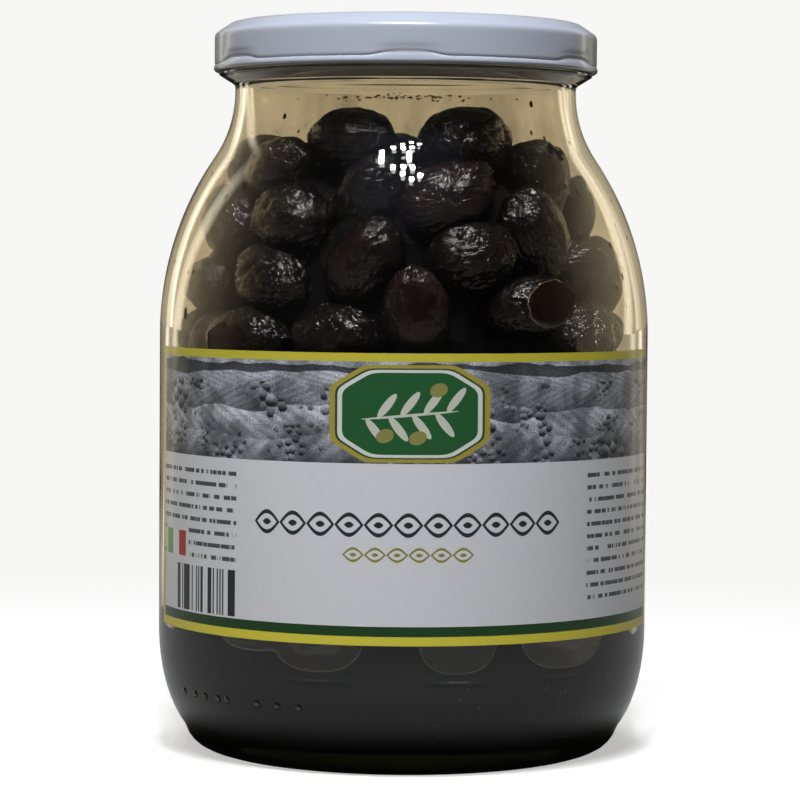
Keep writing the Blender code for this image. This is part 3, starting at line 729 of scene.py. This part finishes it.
# Olives that show above the label, against the glass at the front: x, height, lean of the long
# axis from level, and its tilt towards the viewer in degrees
FRONT_OLIVES = [
    (-12.8, 132.5, 6, 0),
    (15.8, 131.8, -6, 0),
    (-25.7, 127.0, 20, 0),
    (27.0, 126.0, -55, 0),
    (-8.2, 119.5, 30, 45),
    (9.0, 120.5, 30, 10),
    (-24.2, 117.5, -15, 5),
    (13.5, 108.5, 5, 5),
    (29.0, 112.5, -60, 5),
    (-27.4, 104.8, -20, 10),
    (-8.8, 108.5, 75, 20),
    (36.5, 107.5, 0, 60),
    (23.5, 101.0, 10, 35),
    (2.5, 98.5, 80, 10),
    (-12.5, 94.2, 5, 0),
    (-31.0, 93.0, 10, 0),
]


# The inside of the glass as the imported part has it, with few steps, from the floor up
part_inner = heel(BODY_RADIUS - WALL, HEEL_DEPTH, HEEL_HEIGHT, FLOOR_Z - 1.2, 3) + shoulder(WALL, 3, 3)
part_inner += [(NECK_RADIUS - WALL, BORE_Z - 2.2), (BORE_RADIUS, BORE_Z)]


def part_inner_radius(z):
    """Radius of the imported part's faceted inside at height z; z may be an array."""
    radii, heights = zip(*part_inner)
    return np.interp(z, heights, radii) * math.cos(math.pi / CAD_SIDES)


def glass_inner_radius(z):
    """Radius of the smooth inside of the glass at height z; z may be an array."""
    radii, heights = zip(*inner_glass[2:])
    return np.interp(z, heights, radii)


def heap_top(x, y):
    """Height of the heap's top over the point (x, y), crowned in the middle."""
    return HEAP_LEVEL + HEAP_CROWN * max(0.0, 1 - (x * x + y * y) / HEAP_RADIUS ** 2)


def wall_ring(z):
    """Radius at which an olive's centre lies when it touches the glass at height z."""
    return float(part_inner_radius(z)) - OLIVE_WIDTH / 2 - GLASS_CLEARANCE


def has_room(centre, others):
    """True where an olive centred here clears the others."""
    return all((centre - other).length > ROOM_ROUND_OLIVE for other in others)


def lay_front():
    """Centres and long axes of the olives that show above the label."""
    centres = []
    axes = []
    for x, z, lean, tilt in FRONT_OLIVES:
        ring = wall_ring(z)
        outward = Vector((x, -math.sqrt(ring * ring - x * x), 0)) / ring
        along = Vector((-outward.y, outward.x, 0))
        level = along * math.cos(math.radians(tilt)) + outward * math.sin(math.radians(tilt))
        axis = level * math.cos(math.radians(lean)) + Vector((0, 0, math.sin(math.radians(lean))))
        centres.append(outward * ring + Vector((0, 0, z)))
        axes.append(axis.normalized())
    return centres, axes


def lay_wall_rows(draw, front):
    """Centres and long axes of the olives that lie against the glass, row above row."""
    centres = []
    axes = []
    half = OLIVE_WIDTH / 2
    row = 0
    z = FLOOR_Z + half + FIRST_ROW_LIFT
    while z < HEAP_LEVEL - half:
        ring = wall_ring(z)
        count = round(2 * math.pi * ring / ROW_SPACING)
        for place in range(count):
            stray = draw.uniform(-BEARING_SPREAD, BEARING_SPREAD)
            turn = 2 * math.pi * (place + 0.5 * (row % 2) + stray) / count
            outward = Vector((math.cos(turn), math.sin(turn), 0))
            along = Vector((-math.sin(turn), math.cos(turn), 0))
            lean = math.radians(draw.gauss(0, LEAN_SPREAD))
            if draw.random() < STEEP_SHARE:
                lean = math.radians(draw.uniform(*STEEP_LEAN))
            axis = along * math.cos(lean) + Vector((0, 0, 1)) * math.sin(lean)
            tip = draw.gauss(0, TIP_SPREAD)
            if draw.random() < END_ON_SHARE:
                tip = END_ON_TIP
            axis = (axis + outward * tip).normalized()
            centre = outward * ring + Vector((0, 0, z + draw.uniform(-HEIGHT_SPREAD, HEIGHT_SPREAD)))
            if has_room(centre, front):
                centres.append(centre)
                axes.append(axis)
        z += ROW_PITCH
        row += 1
    return centres, axes


def lay_top(draw, others):
    """Centres and long axes of the olives that lie on top of the heap."""
    centres = []
    axes = []
    for row in range(-3, 4):
        for column in range(-3, 4):
            x = (column + 0.5 * (row % 2)) * TOP_PITCH + draw.uniform(-TOP_SPREAD, TOP_SPREAD)
            y = row * TOP_PITCH * TOP_ROW_STEP + draw.uniform(-TOP_SPREAD, TOP_SPREAD)
            z = heap_top(x, y) - OLIVE_WIDTH / 2 + draw.uniform(-TOP_HEIGHT_SPREAD, TOP_HEIGHT_SPREAD)
            turn = draw.uniform(0, math.pi)
            axis = Vector((math.cos(turn), math.sin(turn), draw.gauss(0, TOP_TIP)))
            centre = Vector((x, y, z))
            if math.hypot(x, y) < wall_ring(z) and has_room(centre, others):
                centres.append(centre)
                axes.append(axis.normalized())
    return centres, axes


def settle(centres, axes, half_length, half_width):
    """Push overlapping olives apart and off the glass, each taken as three balls in a row."""
    count = len(centres)
    give = np.ones((count, 1))
    give[:len(FRONT_OLIVES)] = FRONT_GIVE
    end_radius = END_BALL * half_width
    reach = half_length - end_radius
    radii = np.concatenate([half_width, end_radius, end_radius])
    owner = np.tile(np.arange(count), 3)
    own = owner[:, None] == owner[None, :]
    for _ in range(SETTLE_ROUNDS):
        balls = np.concatenate([centres, centres + axes * reach[:, None],
                                centres - axes * reach[:, None]])
        offset = balls[:, None] - balls[None, :]
        distance = np.linalg.norm(offset, axis=2) + 0.000001
        overlap = np.clip(radii[:, None] + radii[None, :] - distance, 0, None)
        overlap[own] = 0
        push = (offset * (overlap / distance)[:, :, None]).sum(axis=1) * PUSH_SHARE
        radial = np.hypot(balls[:, 0], balls[:, 1]) + 0.000001
        limit = part_inner_radius(balls[:, 2]) - GLASS_CLEARANCE - radii
        inward = np.clip(radial - limit, 0, None) / radial
        push[:, :2] -= balls[:, :2] * inward[:, None]
        push[:, 2] += np.clip(FLOOR_Z + GLASS_CLEARANCE + radii - balls[:, 2], 0, None)
        middle, front, back = push[:count], push[count:2 * count], push[2 * count:]
        centres = centres + give * (middle + front + back) * MOVE_SHARE
        axes = axes + give * (front - back) * (MOVE_SHARE / reach)[:, None]
        axes = axes / np.linalg.norm(axes, axis=1)[:, None]
    return centres, axes


draw = random.Random(SEED)
centres, axes = lay_front()
wall_centres, wall_axes = lay_wall_rows(draw, centres)
centres += wall_centres
axes += wall_axes
top_centres, top_axes = lay_top(draw, centres)
centres = np.array([tuple(point) for point in centres + top_centres])
axes = np.array([tuple(axis) for axis in axes + top_axes])
scale = np.array([1 + draw.uniform(-OLIVE_SPREAD, OLIVE_SPREAD) for _ in centres])
thin = np.array([1 + draw.uniform(-OLIVE_SPREAD, OLIVE_SPREAD) for _ in centres])
half_lengths = OLIVE_LENGTH / 2 * scale
half_widths = OLIVE_WIDTH / 2 * scale * thin
centres, axes = settle(centres, axes, half_lengths, half_widths)


# How far inside the label's sides and edges an olive is hidden by it
LABEL_MARGIN = math.radians(16)
LABEL_COVER = 12


def behind_label(centre):
    """True for an olive that the label hides from every side."""
    angle = math.atan2(centre[0], -centre[1])
    across = LABEL_LEFT + LABEL_MARGIN < angle < LABEL_RIGHT - LABEL_MARGIN
    return across and LABEL_BOTTOM + LABEL_COVER < centre[2] < LABEL_TOP - LABEL_COVER


PRESS = -0.9
INTO_WALL = 0.05
WALL_OLIVE_FROM = 20
EGG_SHARE = 0.05
STEM_DIMPLE = 0.9
STEM_WIDTH = 0.3
TIP_DIMPLE = 0.5
TIP_WIDTH = 0.24

# The skin's swells, folds and puckers: how many lie in a millimetre, and how deep they are. A crease
# runs where a fold or a pucker crosses nought: the share of it that creases, and how deep.
SWELLS = (0.16, 1.1)
FOLDS = (0.34, 0.3)
PUCKERS = 0.75
CREASE = (0.1, 0.6)
SMALL_CREASE = (0.12, 0.16)
ALONG_OLIVE = 0.5

# How far an olive at the front is pressed on against the glass, by its place in the list
FRONT_PRESS = {12: 3.1, 13: 1.2, 15: 1.5}
# The olive at this place in the list gets shallower folds and a painted highlight: a thin pale ring round
# its pressed patch.
RIMMED_OLIVE = 12
RIMMED_RELIEF = 0.25
PRESSED_RELIEF = 0.5

# An olive that only rests on the glass counts as this far from it, and one lower than this over the
# label's bottom as wet all over. Each olive takes its own stretch of the patterns and its own tone.
DRY_TOUCH = -0.35
LOW_OLIVE = 8
SKIN_SHIFT = 31.7
GOLDEN_STEP = 0.381966


def wrinkles(local, offset):
    """Depth of the folds at a point of the skin, in millimetres; the folds run along the olive."""
    point = Vector((local[0] + offset, local[1], local[2] * ALONG_OLIVE))
    swell = noise.noise(point * SWELLS[0])
    fold = noise.noise(point * FOLDS[0] + Vector((swell, 0, 0)))
    pucker = noise.noise(point * PUCKERS)
    crease = CREASE[1] * math.exp(-(fold / CREASE[0]) ** 2)
    small_crease = SMALL_CREASE[1] * math.exp(-(pucker / SMALL_CREASE[0]) ** 2)
    return SWELLS[1] * swell - crease - small_crease + FOLDS[1] * fold


def ball_of_skin(name, segments, rings):
    """A round start for the olives, with its poles at the ends of the long axis."""
    bpy.ops.object.select_all(action="DESELECT")
    bpy.ops.mesh.primitive_uv_sphere_add(segments=segments, ring_count=rings, radius=MM)
    ball = bpy.context.object
    ball.name = name
    return ball


def shape_olive(ball, number):
    """A wrinkled olive from a copy of the ball, laid in its place and pressed on the glass."""
    unit = corners_of(ball)
    width = half_widths[number]
    length = half_lengths[number]
    egg = 1 - EGG_SHARE * unit[:, 2]
    local = unit * np.column_stack([width * egg, width * egg, np.full(len(unit), length)])
    ring = np.hypot(unit[:, 0], unit[:, 1])
    stem = np.clip(1 - (ring / STEM_WIDTH) ** 2, 0, 1) ** 2 * (unit[:, 2] < 0)
    tip = np.clip(1 - (ring / TIP_WIDTH) ** 2, 0, 1) ** 2 * (unit[:, 2] > 0)
    local[:, 2] += STEM_DIMPLE * stem + TIP_DIMPLE * tip
    depth = np.array([wrinkles(point, SKIN_SHIFT * number) for point in local])
    if number in FRONT_PRESS:
        depth *= RIMMED_RELIEF if number == RIMMED_OLIVE else PRESSED_RELIEF
    local += unit * depth[:, None]
    turn = np.array(Vector(axes[number]).to_track_quat("Z", "Y").to_matrix())
    points = local @ turn.T + centres[number]
    outward = np.array([centres[number][0], centres[number][1], 0])
    far = np.linalg.norm(outward)
    gap = glass_inner_radius(centres[number][2]) - far
    if far > WALL_OLIVE_FROM and gap < OLIVE_LENGTH / 2 + 2:
        points += outward / far * FRONT_PRESS.get(number, PRESS)
    reach = np.hypot(points[:, 0], points[:, 1])
    limit = glass_inner_radius(points[:, 2]) + INTO_WALL
    touch = reach - limit
    shrink = np.minimum(1, limit / np.maximum(reach, 0.001))
    points[:, :2] *= shrink[:, None]
    points[:, 2] = np.maximum(points[:, 2], FLOOR_Z + 0.1)
    olive = ball.copy()
    olive.data = ball.data.copy()
    bpy.context.scene.collection.objects.link(olive)
    move_corners(olive, points)
    wetted = touch if number in FRONT_PRESS else np.minimum(touch, DRY_TOUCH)
    if centres[number][2] < LABEL_BOTTOM + LOW_OLIVE:
        wetted = np.zeros_like(touch)
    note_on_corners(olive, "skin", "FLOAT_VECTOR", local + [SKIN_SHIFT * number, 0, 0])
    note_on_corners(olive, "touch", "FLOAT", wetted)
    note_on_corners(olive, "rim", "FLOAT", np.full(len(unit), float(number == RIMMED_OLIVE)))
    note_on_corners(olive, "tone", "FLOAT", np.full(len(unit), (number * GOLDEN_STEP) % 1))
    return olive


def join_all(name, pieces):
    """Join pieces into one, which takes the name."""
    bpy.ops.object.select_all(action="DESELECT")
    for piece in pieces:
        piece.select_set(True)
    bpy.context.view_layer.objects.active = pieces[0]
    bpy.ops.object.join()
    pieces[0].name = name
    pieces[0].data.name = name
    return pieces[0]


fine_ball = ball_of_skin("fine_ball", 60, 36)
plain_ball = ball_of_skin("plain_ball", 40, 24)
near_olives = []
other_olives = []
for number, centre in enumerate(centres):
    if behind_label(centre):
        continue
    if centre[2] > LABEL_TOP - 6 and centre[1] < 4:
        near_olives.append(shape_olive(fine_ball, number))
    else:
        other_olives.append(shape_olive(plain_ball, number))
for ball in (fine_ball, plain_ball):
    bpy.data.objects.remove(ball, do_unlink=True)

# Black olive skin, baked and oiled: nearly black with a red-brown cast where it lies thin, finely
# puckered, and shining in broken patches. Where it is pressed on the glass it is smooth and dull, and
# one olive's pressed patch is ringed with a thin pale line, a painted highlight of the oil's edge.
skin_material, tree, shader = new_material("baked_black_olive_skin", {
    "IOR": 1.46, "Specular IOR Level": 0.65})
grain_place = add(tree, "Attribute", attribute_name="skin").outputs["Vector"]
touch = add(tree, "Attribute", attribute_name="touch").outputs["Fac"]
tone = add(tree, "Attribute", attribute_name="tone").outputs["Fac"]
long_way = add(tree, "Mapping", grain_place, Scale=(1, 1, 0.55))
patches = add(tree, "TexNoise", long_way, Scale=0.16, Detail=3.0)
black = add(tree, "MixRGB", patches, "050404", "0B0807")
warm = add(tree, "MapRange", tone, 0.6, 1.0, 0.0, 0.35)
browned = add(tree, "MixRGB", warm, black, "21100D")
pressed = add(tree, "MapRange", touch, -0.12, 0.1, **SMOOTH)
wet = add(tree, "MixRGB", pressed, browned, "120705")
has_rim = add(tree, "Attribute", attribute_name="rim").outputs["Fac"]
# A thin pale ring is painted round the pressed patch of the one marked olive, as a painted highlight.
rim = add(tree, "Math", touch, -0.06, 0.07, operation="COMPARE")
painted_rim_seen = add(tree, "Math", rim, has_rim, operation="MULTIPLY")
painted_rim_share = add(tree, "Math", painted_rim_seen, 0.55, operation="MULTIPLY")
with_painted_rim = add(tree, "MixRGB", painted_rim_share, wet, "6A5C48")
feed(shader, "Base Color", with_painted_rim)
fine = add(tree, "TexNoise", long_way, Scale=1.1, Detail=2.0)
cells = add(tree, "TexVoronoi", long_way, Scale=1.15, feature="SMOOTH_F1")
heights = add(tree, "Math", cells.outputs["Distance"], -0.6, fine, operation="MULTIPLY_ADD")
loose = add(tree, "MapRange", touch, -0.3, 0.0, 1.0, 0.05)
relief = add(tree, "Bump", Strength=loose, Distance=0.00048, Height=heights)
feed(shader, "Normal", relief)
gloss = add(tree, "TexNoise", grain_place, Scale=0.35, Detail=2.0)
rough = add(tree, "MapRange", gloss, 0.3, 0.7, 0.14, 0.26)
feed(shader, "Roughness", rough)

near_heap = join_all("olives_above_label", near_olives)
finish_piece(near_heap, skin_material, 60)
other_heap = join_all("olives_round_wall", other_olives)
finish_piece(other_heap, skin_material, 60)
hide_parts("olives")
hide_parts("olives")

CORE_INSET = 9.5
CORE_SWELL = 0.05
CORE_LUMPS = 0.13

core_outline = [(2, 12), (26, 12), (36, 14)]
core_outline += [(float(glass_inner_radius(z)) - CORE_INSET, z) for z in range(20, 126, 6)]
core_outline += [(26, 126.5), (18, 127.5), (8, 128), (2, 128)]
core = raise_rings("heap_core", core_outline, 64, True)
points = corners_of(core)
bulge = np.array([noise.noise(Vector(point) * CORE_LUMPS) for point in points])
points *= (1 + CORE_SWELL * bulge)[:, None]
move_corners(core, points)

# The olives deeper in the heap, where no light comes: black, oily and without a sheen.
deep, tree, shader = new_material("black_olives_in_the_dark", {"Roughness": 0.7, "Specular IOR Level": 0.05})
place = add(tree, "TexCoord").outputs["Object"]
lumps = add(tree, "TexVoronoi", place, Scale=75.0)
dark = add(tree, "MixRGB", lumps, "0B0909", "050505")
feed(shader, "Base Color", dark)
relief = add(tree, "Bump", Strength=0.6, Distance=0.004, Height=lumps)
feed(shader, "Normal", relief)
finish_piece(core, deep, 60)


# The liquid
# Dark oily brine that has run down from the olives and stands in the bottom of the jar. It wets
# the glass with no gap, and its upper edge is broken by pockets between the lowest olives.

LIQUID_TOP = 32.0
LIQUID_KNEE = 20.0
BACK_POCKETS = (92.0, 276)
POCKET_STEP = (20, 34)
POCKET_HALF_WIDTH = (6, 13)
POCKET_DEPTH = (4, 9)

# Pockets of air in the liquid's edge: bearing, half width in degrees and depth; the back's by rule
pockets = [(-71, 6, 3.8), (-36.5, 11, 5.2), (-20, 11.5, 8.8), (12.9, 9.6, 8.9), (41, 13.2, 8.8)]
pockets.append((71, 4.5, 4.4))
draw = random.Random(SEED + 4)
bearing, last_bearing = BACK_POCKETS
while bearing < last_bearing:
    pockets.append((bearing, draw.uniform(*POCKET_HALF_WIDTH), draw.uniform(*POCKET_DEPTH)))
    bearing += draw.uniform(*POCKET_STEP)


def liquid_edge(bearing):
    """Height of the liquid's edge on the glass at a bearing in degrees from the front."""
    dip = np.zeros_like(bearing)
    for middle, half, depth in pockets:
        away = np.abs((bearing - middle + 180) % 360 - 180) / half
        dip = np.maximum(dip, depth * np.clip(1 - away ** 2.6, 0, 1) ** 0.45)
    return LIQUID_TOP - dip


liquid_outline = [(radius + INTO_WALL, height - INTO_WALL) for radius, height in inner_glass
                  if height < LIQUID_KNEE]
liquid_outline += [(float(glass_inner_radius(height)) + INTO_WALL, height)
                   for height in np.linspace(LIQUID_KNEE, LIQUID_TOP, 7)]
liquid_outline += [(inner_radius_low - 0.35, LIQUID_TOP - 0.3), (inner_radius_low - 1.1, LIQUID_TOP - 0.55)]
liquid_outline += [(48, LIQUID_TOP - 0.7), (44, LIQUID_TOP - 0.8), (38, LIQUID_TOP - 0.8)]
liquid_outline += [(20, LIQUID_TOP - 0.8), (2, LIQUID_TOP - 0.8)]
liquid = raise_rings("dark_brine", liquid_outline, 360, True)
points = corners_of(liquid)
reach = np.hypot(points[:, 0], points[:, 1])
edge = liquid_edge(np.degrees(np.arctan2(points[:, 0], -points[:, 1])))
share = np.clip((points[:, 2] - LIQUID_KNEE) / (LIQUID_TOP - LIQUID_KNEE), 0, 1)
share *= np.clip((reach - 30) / 14, 0, 1)
points[:, 2] -= share * (LIQUID_TOP - edge)
on_wall = reach > inner_radius_low - 0.1
pull = np.where(on_wall, (glass_inner_radius(points[:, 2]) + INTO_WALL) / np.maximum(reach, 1), 1)
pull = np.where(points[:, 2] > LIQUID_KNEE - 1, pull, 1)
points[:, :2] *= pull[:, None]
move_corners(liquid, points)
note_on_corners(liquid, "meniscus", "FLOAT", np.where(on_wall, share, 0))

# Dark brine with oil and fine olive pulp in it: it lets no light through at this depth.
brine, tree, shader = new_material("dark_olive_brine", {
    "Roughness": 0.35, "Specular IOR Level": 0.1})
place = add(tree, "TexCoord").outputs["Object"]
drift = add(tree, "TexNoise", place, Scale=30.0, Detail=4.0)
murk = add(tree, "MixRGB", drift, "1E2021", "282A2A")
motes = add(tree, "TexVoronoi", place, Scale=420.0)
mote = add(tree, "Math", motes.outputs["Distance"], 0.12, operation="LESS_THAN")
rare = add(tree, "Math", drift, 0.6, operation="GREATER_THAN")
speck = add(tree, "Math", mote, rare, operation="MULTIPLY")
spotted = add(tree, "MixRGB", speck, murk, "5A4A34")
# A thin pale line is painted along the top of the liquid's edge on the glass, as a painted highlight of the
# meniscus.
rise = add(tree, "Attribute", attribute_name="meniscus").outputs["Fac"]
painted_meniscus_highlight = add(tree, "MapRange", rise, 0.93, 0.985, **SMOOTH)
with_meniscus_highlight = add(tree, "MixRGB", painted_meniscus_highlight, spotted, "86857E")
feed(shader, "Base Color", with_meniscus_highlight)
finish_piece(liquid, brine, 40)
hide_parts("olives")


# The oil on the glass
# A thin film of oil that the olives leave on the inside of the glass above the liquid. It is
# cloudy at the neck and sides, streaked where it has run, and beaded with small drops.

FILM_GAP = 0.14
FILM_THICKNESS = 0.06

film_heights = [*range(24, 93, 6), *range(93, 148, 2)]
film_outline = [(float(glass_inner_radius(z)) - FILM_GAP, z) for z in film_heights]
film = raise_rings("oil_film", film_outline, 120, False)
skin_of_oil = film.modifiers.new("thickness", "SOLIDIFY")
skin_of_oil.thickness = FILM_THICKNESS * MM
skin_of_oil.offset = -1.0
bpy.ops.object.modifier_apply(modifier="thickness")

# Olive oil smeared thin on glass: a pale warm haze, with streaks that run down and fine specks.
haze, tree, shader = new_material("smeared_olive_oil", {"Roughness": 0.3, "Specular IOR Level": 0.5})
place = add(tree, "TexCoord").outputs["Object"]
streaky = add(tree, "Mapping", place, Scale=(1, 1, 0.3))
streaks = add(tree, "TexNoise", streaky, Scale=90.0, Detail=5.0, Roughness=0.62)
blotches = add(tree, "TexNoise", place, Scale=26.0, Detail=3.0)
beads = add(tree, "TexNoise", place, Scale=400.0, Detail=3.0)
tint = add(tree, "MixRGB", beads, "AC9E80", "CAC0A8")
feed(shader, "Base Color", tint)
height = add(tree, "SeparateXYZ", place)
far_side = add(tree, "MapRange", height.outputs["Y"], -0.02, 0.02, **SMOOTH)
neck_front = add(tree, "MapRange", height.outputs["Z"], 0.137, 0.147, 0.0, 0.09, **SMOOTH)
neck_back = add(tree, "MapRange", height.outputs["Z"], 0.122, 0.14, 0.0, 0.16, **SMOOTH)
neck = add(tree, "MixRGB", far_side, neck_front, neck_back)
side = add(tree, "Math", height.outputs["X"], operation="ABSOLUTE")
flank = add(tree, "MapRange", side, 0.03, 0.052, 0.0, 0.05, **SMOOTH)
base_haze = add(tree, "Math", neck, flank, operation="ADD")
thick = add(tree, "MapRange", streaks, 0.38, 0.66, 0.3, 1.6)
spread = add(tree, "MapRange", blotches, 0.35, 0.65, 0.45, 1.3)
amount = add(tree, "Math", thick, spread, operation="MULTIPLY")
cover = add(tree, "Math", base_haze, amount, operation="MULTIPLY")
feed(shader, "Alpha", cover)
finish_piece(film, haze, 60)


def dome(name, radius, height):
    """A low round bead, its flat side down and its crown towards +Z."""
    bpy.ops.object.select_all(action="DESELECT")
    bpy.ops.mesh.primitive_uv_sphere_add(segments=10, ring_count=6, radius=MM)
    bead = bpy.context.object
    bead.name = name
    points = corners_of(bead)
    points[:, 2] = np.maximum(points[:, 2], -0.15) * height
    points[:, :2] *= radius
    move_corners(bead, points)
    return bead


def set_bead(bead, bearing, height, wall_radius, outward, size):
    """A copy of a bead on a wall at a bearing and height, crown outward or inward."""
    turn = math.radians(bearing)
    out = Vector((math.sin(turn), -math.cos(turn), 0))
    slope = (wall_radius(height + 0.5) - wall_radius(height - 0.5))
    normal = Vector((out.x, out.y, -float(slope))).normalized() * outward
    place = out * float(wall_radius(height)) + Vector((0, 0, height))
    matrix = (Matrix.Translation(place) @ normal.to_track_quat("Z", "Y").to_matrix().to_4x4()
              @ Matrix.Diagonal((*size, 1)))
    copy = bead.copy()
    copy.data = bead.data.copy()
    bpy.context.scene.collection.objects.link(copy)
    points = corners_of(copy)
    turned = np.array(matrix.to_3x3())
    move_corners(copy, points @ turned.T + np.array(matrix.translation))
    return copy


BEADS = 380
BEAD_HEIGHTS = (92, 140, 122)
SMALL_BEAD = 0.13
BEAD_GROWTH = 0.42

# Two close clusters of finer beads, along the neck and over the upper olives: how many, the middle
# and spread of their bearings and of their heights, their sizes, and how wide and tall they stretch
BEAD_CLUSTERS = [(70, (0, 14), (143.2, 0.3), (0.1, 0.26), (1.6, 1.0)),
                 (170, (-7, 12), (117, 5.5), (0.09, 0.2), (1.0, 1.2))]

draw = random.Random(SEED + 9)
bead = dome("bead", 1.0, 0.45)
drops = []
for _ in range(BEADS):
    bearing = draw.uniform(0, 360)
    height = draw.triangular(*BEAD_HEIGHTS)
    size = SMALL_BEAD + BEAD_GROWTH * draw.random() ** 5
    long_size = size * draw.uniform(1.0, 1.7)
    drops.append(set_bead(bead, bearing, height, glass_inner_radius, -1, (size, long_size, size)))
for count, bearings, heights, sizes, (wide, tall) in BEAD_CLUSTERS:
    for _ in range(count):
        bearing = draw.gauss(*bearings)
        height = draw.gauss(*heights)
        size = draw.uniform(*sizes)
        stretched = (size * wide, size * tall, size)
        drops.append(set_bead(bead, bearing, height, glass_inner_radius, -1, stretched))
beaded = join_all("oil_beads", drops)

# Olive oil standing in beads: clear, golden brown where it is thick, IOR 1.47.
oil, tree, shader = new_material("beaded_olive_oil", {
    "Transmission Weight": 1.0, "IOR": 1.47, "Roughness": 0.02})
place = add(tree, "TexCoord").outputs["Object"]
mood = add(tree, "TexNoise", place, Scale=40.0)
tint = add(tree, "MixRGB", mood, "8A6A34", "CDB27A")
feed(shader, "Base Color", tint)
finish_piece(beaded, oil, 60)


def heel_radius(height):
    """Radius of the outside of the glass on the heel."""
    radii, heights = zip(*[point for point in outer_glass if point[1] < 60][6:])
    return np.interp(height, heights, radii)


# A row of small raised dots on the heel, pressed into the glass by the mould.
DOT_HEIGHT = 15.2
DOT_SIZE = (0.85, 0.85, 1.0)
DOT_BEARINGS = [-62.5, -57, -52.5, -47.5, -44.5, -35, -29.5, -24]
dots = [set_bead(bead, bearing, DOT_HEIGHT, heel_radius, 1, DOT_SIZE) for bearing in DOT_BEARINGS]
raised = join_all("heel_dots", dots)

# Single drops of dark brine that cling to the inside of the glass: bearing, height and half sizes.
BRINE_DROPS = [(-62.2, 97.0, 0.62, 1.35), (-44.0, 139.2, 0.45, 0.7), (47.2, 142.4, 0.5, 0.8),
               (38.0, 121.5, 0.5, 0.4)]
clinging = [set_bead(bead, turn, height, glass_inner_radius, -1, (wide, tall, 0.6))
            for turn, height, wide, tall in BRINE_DROPS]
drops_of_brine = join_all("brine_drops", clinging)
bpy.data.objects.remove(bead, do_unlink=True)
finish_piece(raised, glass, 60)
finish_piece(drops_of_brine, brine, 60)
